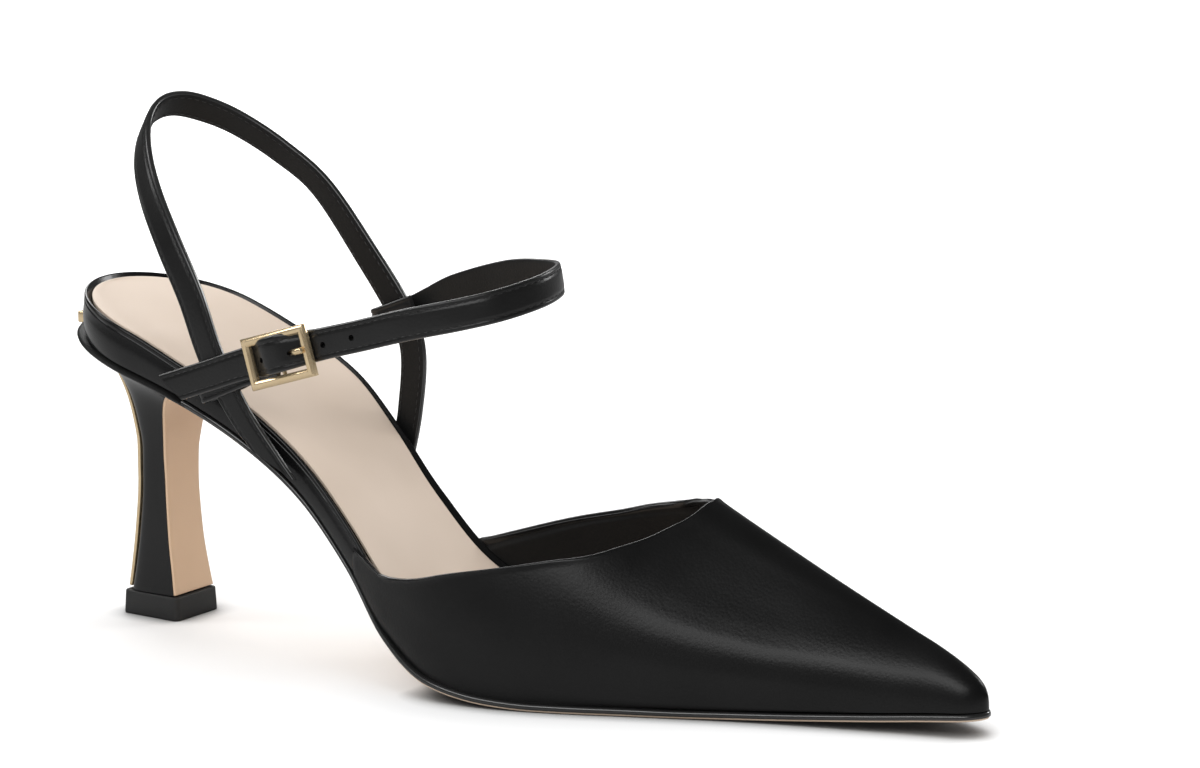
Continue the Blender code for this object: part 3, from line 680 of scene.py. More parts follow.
def vamp_point(x, side, angle, depth):
    """A point of the vamp; depth runs from 0 on the outer face to 1 on the lining."""
    foot_y = middle(x) + side * toe_half(x, WALL * depth, TOE_X - LINING_TOE_IN * depth)
    low = bed_under(x) - FOOT_LOW
    top = read(RIDGE, 1, x + LINING_AHEAD * depth) - LINING_LOW * depth
    ease = eased((TOE_X - x) / CREST_RUN)
    crest = RIDGE_Y * ease + middle(x) * (1 - ease)
    way_in, way_up = vamp_section(x, angle)
    return Vector((x, foot_y + (crest - foot_y) * way_in, low + (top - low) * way_up))


def fold(reach, inside):
    """Depth in the wall at some reach from the throat; the lining starts with a step, past the fold."""
    half = WALL / 2
    curl = half - sqrt(max(half * half - max(half - reach, 0.0) ** 2, 0.0))
    if inside:
        step = LINING_STEP * clamp((reach - LINING_STEP_AT) / LINING_STEP_RUN)
        return 1.0 - curl / WALL + step / WALL
    bead = BEAD_HIGH * exp(-((reach - BEAD_AT) / BEAD_WIDE) ** 2)
    return (curl - bead * min(reach / BEAD_AT, 1.0)) / WALL


print("throat to toe", round(TOE_X - read(TOPLINE, 1, 90), 1), "mm")

# %% [markdown]
# ## Two skins for the vamp
# One grid makes the outer face and one the lining, both moved onto the same formula with a different depth in
# the wall. The two faces curl round to meet at the throat, as folded leather does, and are welded there. The
# first rows carry the smoother finish of the fold.

# %% Make the vamp
VAMP_ROWS = 96
VAMP_COLUMNS = 104
FOLD_ROWS = 7
VAMP_WELD = 0.004


def vamp_skin(inside):
    def place(i, j):
        side = -1 if j <= VAMP_COLUMNS / 2 else 1
        angle = 180 * j / VAMP_COLUMNS
        angle = angle if side < 0 else 180 - angle
        start = read(TOPLINE, 1 if side < 0 else 2, angle)
        run = 0.5 - 0.5 * cos(pi * i / VAMP_ROWS)
        depth = 0.5 if j in (0, VAMP_COLUMNS) else fold((TOE_X - start) * run, inside)
        end = TOE_X - LINING_TOE_IN * depth
        return vamp_point(start + (end - start) * run, side, angle, depth)
    return place


bm = bmesh.new()
for inside, finish_number in ((False, 0), (True, 1)):
    warped_grid(bm, VAMP_ROWS, VAMP_COLUMNS, vamp_skin(inside),
                lambda i, j: 2 if i < FOLD_ROWS else finish_number)
close_up(bm, VAMP_WELD)
finish_piece("vamp_dressed", bm, [BLACK_CALF, BLACK_LINING, BLACK_WRAP], ["vamp"], 60)

# %% [markdown]
# ## Sections of the heel
# The heel starts as a thin lip under the footbed, is drawn in to a narrow waist and flares again at the foot.
# It is a loft, a row of closed rings. The sections change from the round seat to a soft-cornered square on
# the way down, and a power of sine and cosine makes all of them.

# %% Rings for the heel
HEEL_FRONT_X = 45.0
LIP_FRONT_IN = 0.4
LIP_TURNS_AT = 0.5
SIDE_POINTS = 26
FRONT_POINTS = 10
# columns: drop below the seat, inset from the outline
HEEL_LIP = [
    (0.0, 2.4), (0.15, 1.5), (0.4, 0.85), (0.75, 0.4), (1.1, 0.18), (1.4, 0.3), (1.7, 0.75), (2.0, 1.4),
]
# columns: row, back x, back z, front x, front z, half width, squareness
HEEL_STEM = [
    (0, 5.2, 66.0, 41.4, 56.8, 20.5, 2.6), (1, 8.0, 62.6, 32.6, 57.0, 14.8, 2.8),
    (2, 10.7, 58.4, 27.2, 54.6, 10.6, 3.2), (3, 12.9, 54.0, 25.0, 50.4, 8.4, 3.8),
    (4, 14.6, 48.6, 24.2, 45.2, 7.3, 4.5), (5, 15.8, 41.5, 23.7, 39.4, 6.6, 5.0),
    (6, 15.8, 33.0, 23.8, 32.0, 6.3, 6.0), (7, 14.6, 20.0, 24.6, 19.6, 6.6, 6.0),
    (8, 13.4, 12.0, 25.7, 11.8, 7.0, 6.0), (9, 12.4, 6.1, 26.6, 6.1, 7.5, 6.0),
]
SEAT_SQUARE = HEEL_STEM[0][6]
STEM_CUTS = 4
STEM_STEPS = [k / STEM_CUTS for k in range(STEM_CUTS * (len(HEEL_STEM) - 1) + 1)]


def shares(square):
    power = 2 / square
    angles = [radians(90 * k / SIDE_POINTS) for k in range(SIDE_POINTS + 1)]
    return [(sin(a) ** power, max(cos(a), 0.0) ** power) for a in angles]


def ring_of(side_points):
    """A ring from one side's points: outer side, back, inner side, then across the front."""
    ring = [Vector((x, mid - wide, z)) for x, mid, wide, z in side_points]
    ring += [Vector((x, mid + wide, z)) for x, mid, wide, z in reversed(side_points[:-1])]
    x, mid, wide, z = side_points[0]
    return ring + [Vector((x, mid + wide * (1 - 2 * k / FRONT_POINTS), z)) for k in range(1, FRONT_POINTS)]


def seat_half(x, inset):
    if x < HEEL_DEPTH:
        part = (HEEL_DEPTH - x) / (HEEL_DEPTH - inset)
        return (half_wide(HEEL_DEPTH) - inset) * sqrt(max(1 - part * part, 0.0))
    return half_wide(x) - inset


def lip_ring(drop, inset):
    front = HEEL_FRONT_X - (LIP_FRONT_IN if inset > LIP_TURNS_AT else 0.0)
    xs = [front + (inset - front) * deep for deep, _ in shares(SEAT_SQUARE)]
    return ring_of([(x, middle(x), seat_half(x, inset), sole_z(x) + SOLE_THICK - drop) for x in xs])


def stem_row(step):
    return [read(HEEL_STEM, column, step) for column in range(1, 7)]


def stem_ring(step):
    back_x, back_z, front_x, front_z, half, square = stem_row(step)
    points = []
    for deep, wide in shares(square):
        x = front_x + (back_x - front_x) * deep
        points.append((x, 0.0, half * wide, front_z + (back_z - front_z) * deep))
    return ring_of(points)


print("narrowest half width", min(row[5] for row in HEEL_STEM), "mm")

# %% [markdown]
# ## Lofting the heel
# Each ring is a circle whose corners are moved onto a section, and the bridge operator joins one ring to the
# next. Three rings in between ease the lip into the stem. The seat under the footbed is bare and dull, so
# every face that looks up takes the lining's finish.

# %% Bridge the rings
NECK_SHARES = (0.25, 0.5, 0.75)
NECK_POWER = 0.85
NECK_RISE = 0.5
LOOKS_UP = 0.5


def loft(rings):
    """A ring of edges for each section, bridged one to the next, with both ends capped."""
    bm = bmesh.new()
    edges = []
    for number, ring in enumerate(rings):
        capped = number in (0, len(rings) - 1)
        made = bmesh.ops.create_circle(bm, cap_ends=capped, segments=len(ring), radius=1.0)
        for vert, spot in zip(made["verts"], ring):
            vert.co = spot
        edges.append(list({e for v in made["verts"] for e in v.link_edges}))
    for first, second in zip(edges, edges[1:]):
        bmesh.ops.bridge_loops(bm, edges=first + second)
    bmesh.ops.recalc_face_normals(bm, faces=bm.faces)
    return bm


rings = [lip_ring(*row) for row in HEEL_LIP]
last_lip = rings[-1]
for share in NECK_SHARES:
    rise = Vector((0, 0, NECK_RISE * share * (1 - share)))
    rings.append([a.lerp(b, share ** NECK_POWER) + rise for a, b in zip(last_lip, stem_ring(0))])
bm = loft(rings + [stem_ring(step) for step in STEM_STEPS])
bm.normal_update()
for face in bm.faces:
    face.material_index = 1 if face.normal.z > LOOKS_UP else 0
finish_piece("heel_dressed", bm, [BLACK_WRAP, BLACK_LINING], ["heel"], 50)

# %% [markdown]
# ## Panel and plate on the heel
# The front of the heel carries a tan leather panel, and its back a thin plate of pale gold with a small tab
# standing out at the top. Both are strips: a grid laid along the heel's own profile, lifted off it a hair,
# given thickness with the solidify operator and eased along the edges with a bevel. The tab is a cube.

# %% Make the strips
STRIP_COLUMNS = 8
STEEP = radians(60)
PANEL_FROM = 0.6
PANEL_STEPS = 36
PANEL_IN = 0.1
PANEL_HALF_MOST = 13.0
PLATE_HALF = 4.6
PLATE_TOP = [(0.1, 71.6), (0.3, 70.8), (0.9, 69.9), (2.0, 68.8), (3.5, 67.5)]
TAB_AT = (-1.55, 0.0, 71.4)
TAB_HALF = (1.95, 4.6, 1.4)


def bevel(bm, edges, offset, segments):
    bmesh.ops.bevel(bm, geom=edges, offset=offset, segments=segments, profile=0.5, affect="EDGES",
                    material=-1)
    bmesh.ops.recalc_face_normals(bm, faces=bm.faces)


def strip(line, halves, lift, thick, outward, ease):
    """A thin sheet along a line of (x, z) rows, lifted off the heel."""
    bm = bmesh.new()
    steps = len(line) - 1

    def place(i, j):
        x0, z0 = line[max(i - 1, 0)]
        x1, z1 = line[min(i + 1, steps)]
        run = Vector((x1 - x0, 0, z1 - z0)).normalized()
        out = Vector((run.z, 0, -run.x)) * outward
        x, z = line[i]
        return Vector((x, halves[i] * (2 * j / STRIP_COLUMNS - 1), z)) + out * lift

    warped_grid(bm, steps, STRIP_COLUMNS, place)
    bmesh.ops.recalc_face_normals(bm, faces=bm.faces)
    bmesh.ops.solidify(bm, geom=bm.faces[:], thickness=thick)
    bmesh.ops.recalc_face_normals(bm, faces=bm.faces)
    bevel(bm, [e for e in bm.edges if len(e.link_faces) == 2 and e.calc_face_angle() > STEEP], ease, 2)
    return bm


last_row = len(HEEL_STEM) - 1
front_rows = [stem_row(step) for step in spread(PANEL_FROM, last_row, PANEL_STEPS) + [last_row]]
front_line = [(row[2], row[3]) for row in front_rows]
front_halves = [min(row[4] - PANEL_IN, PANEL_HALF_MOST) for row in front_rows]
bm = strip(front_line, front_halves, lift=0.7, thick=0.8, outward=-1, ease=0.2)
finish_piece("breast_panel_dressed", bm, [TAN_PANEL], ["heel_breast_panel"], 50)

back_line = PLATE_TOP + [tuple(stem_row(step)[:2]) for step in STEM_STEPS]
bm = strip(back_line, [PLATE_HALF] * len(back_line), lift=0.75, thick=0.9, outward=1, ease=0.18)
tab_place = Matrix.Translation(TAB_AT) @ Matrix.Diagonal((*TAB_HALF, 1.0))
tab = bmesh.ops.create_cube(bm, size=2.0, matrix=tab_place)
bevel(bm, list({e for v in tab["verts"] for e in v.link_edges}), 0.4, 3)
finish_piece("back_plate_dressed", bm, [PALE_GOLD], ["heel_back_plate"], 50)

# %% [markdown]
# ## Top piece
# The rubber top piece is what the heel walks on: nearly square, a little wider in front. It starts as a cube,
# is scaled and tapered, and its upright corners and its rims are bevelled.

# %% Make the top piece
TIP_FRONT_X = 28.3
TIP_BACK_HALF = 7.2
TIP_FRONT_HALF = 8.4
TIP_HIGH = 5.8
TIP_FLARE = 0.25


def rise_of(edge):
    return abs(edge.verts[0].co.z - edge.verts[1].co.z)


bm = bmesh.new()
bmesh.ops.create_cube(bm, size=2.0)
for vert in bm.verts:
    front = vert.co.x > 0
    flare = TIP_FLARE if vert.co.z > 0 else 0.0
    x = TIP_FRONT_X - flare if front else TIP_BACK_X + flare
    half = (TIP_FRONT_HALF if front else TIP_BACK_HALF) - flare
    vert.co = Vector((x, half * vert.co.y, TIP_HIGH if vert.co.z > 0 else 0.0))
bevel(bm, [e for e in bm.edges if rise_of(e) > 1], 1.5, 6)
bevel(bm, [e for e in bm.edges if rise_of(e) < 0.01], 0.4, 3)
finish_piece("top_piece_dressed", bm, [BLACK_RUBBER], ["heel_top_piece"], 50)

# %% [markdown]
# ## Straps
# A strap is a folded ribbon of calf with rounded edges and a shallow groove under each row of stitches. Its
# path is a smooth curve through a few rows, each with a point and the direction that the outer face looks. A
# grid with one column for each point of the section is wrapped along the path. The ends can be cut aslant.

# %% Path and section of a strap
CUT_REACH = 18.0
PINCH_REACH = 30.0
PINCH_POWER = 0.7
SWELL = 0.2
SWELL_REACH = 8.0
EDGE_POWER = 0.35
FACE_POWER = 0.62
SEAM_IN = 1.15
GROOVE = 0.19
GROOVE_WIDE = 0.3
EDGE_FROM = 0.8
STRAP_FINISHES = [BLACK_STRAP, BLACK_LINING, EDGE_INK]


def smooth_rows(rows, per_step):
    points = [Vector(row) for row in rows]
    ends = [points[0] * 2 - points[1]] + points + [points[-1] * 2 - points[-2]]
    found = []
    for k in range(1, len(ends) - 2):
        p0, p1, p2, p3 = ends[k - 1:k + 3]
        for step in range(per_step):
            t = step / per_step
            bend = (p0 * 2 - p1 * 5 + p2 * 4 - p3) * t * t + (p1 * 3 - p0 - p2 * 3 + p3) * t ** 3
            found.append((p1 * 2 + (p2 - p0) * t + bend) / 2)
    return found + [points[-1]]


def strap_path(rows, per_step, cuts=(0.0, 0.0), pinch=1.0, swell=None):
    """For each step: the middle, the way along, the way out, the way across, the slant and the size there."""
    curve = smooth_rows(rows, per_step)
    spots = [Vector(row[:3]) for row in curve]
    last = len(curve) - 1
    path = []
    for k, here in enumerate(spots):
        along = (spots[min(k + 1, last)] - spots[max(k - 1, 0)]).normalized()
        facing, lean = curve[k][3:]
        look = Vector((cos(radians(facing)), sin(radians(facing)), lean))
        out = (look - along * look.dot(along)).normalized()
        to_start = (here - spots[0]).length
        to_end = (here - spots[last]).length
        slant = cuts[0] * max(1 - to_start / CUT_REACH, 0.0) + cuts[1] * max(1 - to_end / CUT_REACH, 0.0)
        size = 1 - (1 - pinch) * max(1 - to_start / PINCH_REACH, 0.0) ** PINCH_POWER
        if swell:
            size += SWELL * exp(-((here - swell).length / SWELL_REACH) ** 2)
        path.append((here, along, out, along.cross(out), slant, size))
    return path


def strap_section(wide, thick, around):
    """Points of the section as (across, out) in millimetres."""
    points = []
    for k in range(around):
        a = 2 * pi * k / around
        w = 0.5 * wide * copysign(abs(cos(a)) ** EDGE_POWER, cos(a))
        t = 0.5 * thick * copysign(abs(sin(a)) ** FACE_POWER, sin(a))
        if t > 0:
            t -= GROOVE * exp(-((wide / 2 - abs(w) - SEAM_IN) / GROOVE_WIDE) ** 2)
        points.append((w, t))
    return points


def strap_mesh(path, wide, thick, around=64):
    section = strap_section(wide, thick, around)

    def place(i, j):
        here, along, out, across, slant, size = path[i]
        w, t = section[j % around]
        return here + across * (w * size) + out * t + along * (slant * (0.5 - w / wide))

    def paint(i, j):
        turn = 2 * pi * (j + 0.5) / around
        if abs(cos(turn)) > EDGE_FROM:
            return 2
        return 0 if sin(turn) > 0 else 1

    bm = bmesh.new()
    warped_grid(bm, len(path) - 1, around, place, paint)
    close_up(bm)
    return bm


# %% [markdown]
# ## Stitches
# The straps are sewn with black thread, two rows each, about five stitches to the centimetre. A stitch is a
# small stretched sphere with few faces, because there are hundreds of them. Each lies in the groove, along
# the strap.

# %% Sew along a path
STITCH_PITCH = 2.0
STITCH_LONG = 1.45
THREAD = 0.36
# how deep a stitch lies in the outer face and in the inner one
SINK = {1: 0.2, -1: 0.04}
bm = bmesh.new()
bmesh.ops.create_uvsphere(bm, u_segments=6, v_segments=4, radius=0.5)
bmesh.ops.scale(bm, vec=(THREAD, THREAD, STITCH_LONG), verts=bm.verts)
one_stitch = bpy.data.meshes.new("one_stitch")
bm.to_mesh(one_stitch)
bm.free()


def sew(bm, path, wide, thick, skip, faces):
    """Two rows of stitches along a path, leaving out some length at each end."""
    reach = [0.0]
    for first, second in zip(path, path[1:]):
        reach.append(reach[-1] + (second[0] - first[0]).length)
    made = 0
    at = skip[0]
    k = 0
    while at < reach[-1] - skip[1]:
        while reach[k + 1] < at:
            k += 1
        share = (at - reach[k]) / max(reach[k + 1] - reach[k], 1e-6)
        here, along, out, across, slant, size = path[k]
        spot = here.lerp(path[k + 1][0], share)
        turn = Matrix((across, out, along)).transposed().to_4x4()
        for row in (-1, 1):
            for face in faces:
                by = row * (wide / 2 - SEAM_IN)
                lies = spot + across * (by * size) + out * (face * (thick / 2 - SINK[face]))
                lies += along * (slant * (0.5 - by / wide))
                stitch = one_stitch.copy()
                stitch.transform(Matrix.Translation(lies) @ turn)
                bm.from_mesh(stitch)
                bpy.data.meshes.remove(stitch)
                made += 1
        at += STITCH_PITCH
    return made


print("one stitch has", len(one_stitch.polygons), "faces")

# %% [markdown]
# ## Sling strap
# The sling starts at the outer arch, climbs past the buckle, goes round the back of the ankle and comes down
# to the inner arch. The ends are cut aslant, along the edge of the footbed where they are tucked in.

# %% Make the sling
SLING_WIDE = 7.2
SLING_THICK = 1.8
SLING_CUTS = (12.5, -5.4)
SLING_PINCH = 0.7
# columns: x, y, z of the strap's middle, direction its outer face looks in plan, upward lean
SLING = [
    (75.0, -25.2, 41.8, 270, 0.0), (69.6, -25.6, 48.0, 270, 0.0), (61.8, -26.2, 57.6, 270, 0.0),
    (54.8, -27.4, 70.4, 270, 0.0), (48.8, -27.0, 84.0, 270, 0.1), (41.2, -25.0, 95.2, 265, 0.2),
    (33.0, -20.8, 105.0, 254, 0.3), (26.0, -14.8, 112.6, 238, 0.4), (21.2, -8.0, 118.8, 215, 0.5),
    (19.4, -1.0, 122.8, 190, 0.6), (20.4, 5.6, 123.8, 167, 0.7), (23.8, 12.0, 122.0, 146, 0.7),
    (30.0, 17.0, 118.4, 126, 0.7), (39.4, 21.0, 112.0, 108, 0.6), (50.2, 23.0, 103.6, 97, 0.5),
    (63.0, 23.8, 87.6, 92, 0.2), (72.2, 23.6, 75.4, 90, 0.0), (76.4, 23.0, 66.0, 88, 0.0),
    (75.8, 22.4, 52.0, 84, 0.0), (73.2, 21.8, 38.5, 80, 0.0),
]
sling_path = strap_path(SLING, 10, SLING_CUTS, SLING_PINCH)
finish_piece("sling_dressed", strap_mesh(sling_path, SLING_WIDE, SLING_THICK), STRAP_FINISHES,
             ["sling_strap"], 60)

# %% [markdown]
# ## Places round the buckle
# Buckle, prong, holes and two straps all meet on the outer side of the ankle, on a slope. It is easier to
# give their places along the strap, off the leg and across it, and to turn these into the shoe's own x, y, z.

# %% Where the buckle sits
BUCKLE_AT = Vector((78.2, -31.5, 73.6))
BUCKLE_RISE = radians(16.7)


def buckle_point(along, lift, up=0.0):
    """From the buckle's own place to the shoe: along the strap, off the leg, and up across it."""
    x = along * cos(BUCKLE_RISE) - up * sin(BUCKLE_RISE)
    return BUCKLE_AT + Vector((x, -lift, along * sin(BUCKLE_RISE) + up * cos(BUCKLE_RISE)))


print("buckle at", [round(c, 1) for c in buckle_point(0.0, 0.0)])

# %% [markdown]
# ## Ankle strap
# The ankle strap loops round the inner arm of the sling, crosses in front of the ankle and runs through the
# buckle, where it rises over the crossbar and swells a little.

# %% Make the ankle strap
STRAP_WIDE = 7.2
STRAP_THICK = 1.5
TAIL_SLANT = -4.6
# columns: x, y, z of the strap's middle, facing, lean; from the loop on the inner arm forward
STRAP_FRONT = [
    (78.0, 21.3, 76.6, 270, 0.0), (75.9, 21.2, 75.8, 270, 0.0), (70.2, 21.3, 73.6, 270, 0.0),
    (68.2, 21.3, 72.8, 270, 0.0), (66.8, 21.9, 72.3, 225, -0.28), (66.1, 23.6, 72.0, 180, -0.4),
    (66.8, 25.3, 72.3, 135, -0.28), (68.2, 25.9, 72.8, 90, 0.0), (70.2, 25.9, 73.6, 90, 0.0),
    (75.9, 25.8, 76.0, 90, 0.0), (80.5, 24.7, 78.2, 88, 0.0), (90.0, 22.2, 82.6, 80, 0.0),
    (108.0, 17.0, 88.0, 70, 0.05), (123.0, 10.0, 90.2, 52, 0.1), (132.6, 0.0, 91.4, 25, 0.16),
    (135.6, -12.0, 90.6, -10, 0.2), (131.8, -22.4, 88.6, -42, 0.2), (124.0, -28.0, 86.4, -65, 0.12),
    (112.0, -30.9, 83.5, -80, 0.04),
]
# columns: distance along the buckle, lift off the leg, shift up; from in front of the buckle to the tail
STRAP_BUCKLE = [
    (22.0, 0.0, 0.0), (15.0, 0.0, 0.2), (10.5, 0.0, 0.3), (8.0, 0.1, 0.4), (5.0, 1.5, 0.5),
    (2.4, 2.9, 0.6), (0.0, 3.25, 0.6), (-2.4, 2.9, 0.5), (-5.0, 1.5, 0.3), (-8.0, 0.1, 0.2),
    (-10.5, 0.0, 0.2), (-16.0, 0.0, 0.0), (-23.0, 0.0, -0.4), (-35.8, 0.2, -1.0),
]
strap_rows = STRAP_FRONT + [(*buckle_point(*row), -90, 0.0) for row in STRAP_BUCKLE]
ankle_path = strap_path(strap_rows, 8, (0.0, TAIL_SLANT), swell=buckle_point(0.0, 3.0))
ankle = finish_piece("ankle_strap_dressed", strap_mesh(ankle_path, STRAP_WIDE, STRAP_THICK), STRAP_FINISHES,
                     ["ankle_strap"], 60)

# %% [markdown]
# ## Punched holes
# The holes are punched with a Boolean, because a round hole in a thin ribbon is what a Boolean does best. The
# modifiers are applied at once and the punches are removed. The prong's own hole is worn a little long.

# %% Punch the holes
HOLE_ROUND = 0.7
HOLE_DEEP = 2.0
HOLE_OUT = 0.55
HOLE_SIDES = 28
# columns: distance along the buckle, lift of the hole, length against width
HOLES = [(-3.9, 2.1, 1.0), (4.9, 1.6, 1.7), (12.4, 0.0, 1.0), (20.6, 0.0, 1.0)]


def punch(piece, along, lift, stretch):
    bm = bmesh.new()
    turn = Matrix.Rotation(-BUCKLE_RISE, 4, "Y")
    shape = Matrix.Diagonal((stretch, 1.0, 1.0, 1.0)) @ Matrix.Rotation(radians(90), 4, "X")
    place = Matrix.Translation(buckle_point(along, lift + HOLE_OUT)) @ turn @ shape
    bmesh.ops.create_cone(bm, cap_ends=True, segments=HOLE_SIDES, radius1=HOLE_ROUND, radius2=HOLE_ROUND,
                          depth=HOLE_DEEP, matrix=place)
    bmesh.ops.transform(bm, matrix=TO_FRAME, verts=bm.verts)
    tool = new_object("punch", bm)
    cut = piece.modifiers.new("hole", "BOOLEAN")
    cut.operation = "DIFFERENCE"
    cut.solver = "EXACT"
    cut.object = tool
    return tool


tools = [punch(ankle, *row) for row in HOLES]
seen = ankle.evaluated_get(bpy.context.evaluated_depsgraph_get())
punched = bpy.data.meshes.new_from_object(seen)
ankle.modifiers.clear()
ankle.data = punched
for tool in tools:
    bpy.data.objects.remove(tool, do_unlink=True)
print("holes punched", len(tools), "faces", len(punched.polygons))

# %% [markdown]
# ## Buckle strap
# A short strap holds the buckle by its crossbar and loops round the outer arm of the sling. It is the same
# ribbon on another path, a hairpin whose fold leans with the buckle and hangs a little lower towards its end.

# %% Make the buckle strap
CHAPE_WIDE = 7.0
CHAPE_THICK = 1.2
CHAPE_LOW = 1.0
CHAPE_HANG = 0.11
CHAPE_HANG_FROM = 11
CHAPE_AROUND = 48
# columns: distance along the buckle, lift off the leg, turn of the outer face
CHAPE = [
    (-1.6, 0.9, 0), (-4.0, -0.4, 0), (-8.0, -1.7, 0), (-14.0, -2.0, 0), (-18.0, -2.4, 0), (-24.4, -2.5, 0),
    (-26.4, -2.5, 0), (-27.8, -3.0, -45), (-28.4, -4.4, -90), (-27.8, -5.8, -135), (-26.4, -6.3, -180),
    (-24.4, -6.3, -180), (-18.0, -6.3, -180), (-14.5, -4.2, -180), (-11.0, -3.8, -180),
]
chape_rows = []
for along, lift, turn in CHAPE:
    lean = sin(radians(turn)) * sin(BUCKLE_RISE)
    low = CHAPE_LOW + CHAPE_HANG * max(-along - CHAPE_HANG_FROM, 0.0)
    chape_rows.append((*buckle_point(along, lift, -low), 270 + turn, lean))
chape_path = strap_path(chape_rows, 8)
finish_piece("buckle_strap_dressed", strap_mesh(chape_path, CHAPE_WIDE, CHAPE_THICK, CHAPE_AROUND),
             STRAP_FINISHES, ["buckle_strap"], 60)

# %% [markdown]
# ## Sewing the straps
# All stitches go into one mesh, so that they stay one light piece. The sling shows both its faces and is sewn
# on both. The other two straps are sewn on the outer face only.

# %% Sew the straps
bm = bmesh.new()
sewn = sew(bm, sling_path, SLING_WIDE, SLING_THICK, skip=(9.0, 9.0), faces=(1, -1))
sewn += sew(bm, ankle_path, STRAP_WIDE, STRAP_THICK, skip=(14.0, 3.0), faces=(1,))
sewn += sew(bm, chape_path, CHAPE_WIDE, CHAPE_THICK, skip=(2.0, 2.0), faces=(1,))
finish_piece("strap_stitches", bm, [BLACK_THREAD])
print("stitches", sewn)

# %% [markdown]
# ## Buckle frame
# The buckle is a flat rectangular frame with a crossbar. The frame starts as a single square, scaled, inset
# to mark the window and extruded; a wide bevel gives the bright slopes and a fine one softens every edge.

# %% Make the buckle frame
FRAME_HALF_LONG = 9.3
FRAME_HALF_TALL = 6.05
FRAME_BAR = 2.05
FRAME_NEAR = 1.05
FRAME_FAR = 2.85
FRAME_SLOPE = 0.62
FRAME_FINE = 0.12
CROSSBAR_ROUND = 0.5
CROSSBAR_LONG = 9.2
CROSSBAR_LIFT = 1.0
along_strap = Vector((cos(BUCKLE_RISE), 0, sin(BUCKLE_RISE)))
across_strap = Vector((-sin(BUCKLE_RISE), 0, cos(BUCKLE_RISE)))
off_leg = Vector((0, -1, 0))
turned = Matrix((along_strap, across_strap, off_leg)).transposed().to_4x4()
TO_BUCKLE = Matrix.Translation(buckle_point(0.25, 0.0, -0.3)) @ turned

bm = bmesh.new()
bmesh.ops.create_grid(bm, x_segments=1, y_segments=1, size=1.0)
bmesh.ops.scale(bm, vec=(FRAME_HALF_LONG, FRAME_HALF_TALL, 1.0), verts=bm.verts)
window = bm.faces[:]
bmesh.ops.inset_region(bm, faces=window, thickness=FRAME_BAR, use_boundary=True, use_even_offset=True)
bmesh.ops.delete(bm, geom=window, context="FACES")
bmesh.ops.translate(bm, vec=(0, 0, FRAME_NEAR), verts=bm.verts)
raised = bmesh.ops.extrude_face_region(bm, geom=bm.faces[:], use_keep_orig=True)
tops = [v for v in raised["geom"] if isinstance(v, bmesh.types.BMVert)]
bmesh.ops.translate(bm, vec=(0, 0, FRAME_FAR - FRAME_NEAR), verts=tops)
bmesh.ops.recalc_face_normals(bm, faces=bm.faces)
high = [e for e in bm.edges if all(v.co.z > FRAME_FAR - 0.01 for v in e.verts)]
bevel(bm, [e for e in high if e.calc_face_angle() > 0.5], FRAME_SLOPE, 1)
bevel(bm, [e for e in bm.edges if e.calc_face_angle() > 0.4], FRAME_FINE, 2)
upright = Matrix.Translation((0, 0, CROSSBAR_LIFT)) @ Matrix.Rotation(radians(90), 4, "X")
bmesh.ops.create_cone(bm, cap_ends=True, segments=16, radius1=CROSSBAR_ROUND, radius2=CROSSBAR_ROUND,
                      depth=CROSSBAR_LONG, matrix=upright)
bmesh.ops.transform(bm, matrix=TO_BUCKLE, verts=bm.verts)
bmesh.ops.recalc_face_normals(bm, faces=bm.faces)
finish_piece("buckle_frame_dressed", bm, [PALE_GOLD], ["buckle_frame"], 30)

# %% [markdown]
# ## Prong
# The prong is a bent wire. It starts at the crossbar, comes out through the strap's hole and rests on the
# front bar. A grid is wrapped round its curve, and the last rings shrink to round its ends.

# %% Make the prong
PRONG_ROUND = 0.74
PRONG_ENDS = (0.75, 0.95)
PRONG_AROUND = 14
# columns: distance along the buckle, lift off the leg
PRONG = [(-0.6, -0.5), (1.8, -0.4), (3.7, 0.2), (4.9, 1.4), (5.7, 2.8), (6.6, 3.5), (7.6, 3.62), (8.6, 3.6)]
line = smooth_rows([(along, lift, 0.0) for along, lift in PRONG], 6)


def prong_place(i, j):
    ahead = line[min(i + 1, len(line) - 1)] - line[max(i - 1, 0)]
    ahead.normalize()
    to_end = min(i, len(line) - 1 - i)
    size = PRONG_ROUND * (PRONG_ENDS[to_end] if to_end < len(PRONG_ENDS) else 1.0)
    a = 2 * pi * j / PRONG_AROUND
    spot = line[i] + Vector((-ahead.y, ahead.x, 0)) * (size * cos(a))
    return buckle_point(spot.x, spot.y, size * sin(a))


bm = bmesh.new()
warped_grid(bm, len(line) - 1, PRONG_AROUND, prong_place)
close_up(bm)
finish_piece("prong_dressed", bm, [PALE_GOLD], ["buckle_prong"], 60)

# %% [markdown]
# ## Floor
# The shoe stands on a plain white floor. Two things help it look like a studio sweep: it glows more the
# farther it is from the shoe, for the camera only, and it is darker to the reflections in the leather. An
# ambient occlusion node darkens the few millimetres where the sole comes close, as a contact shadow does.

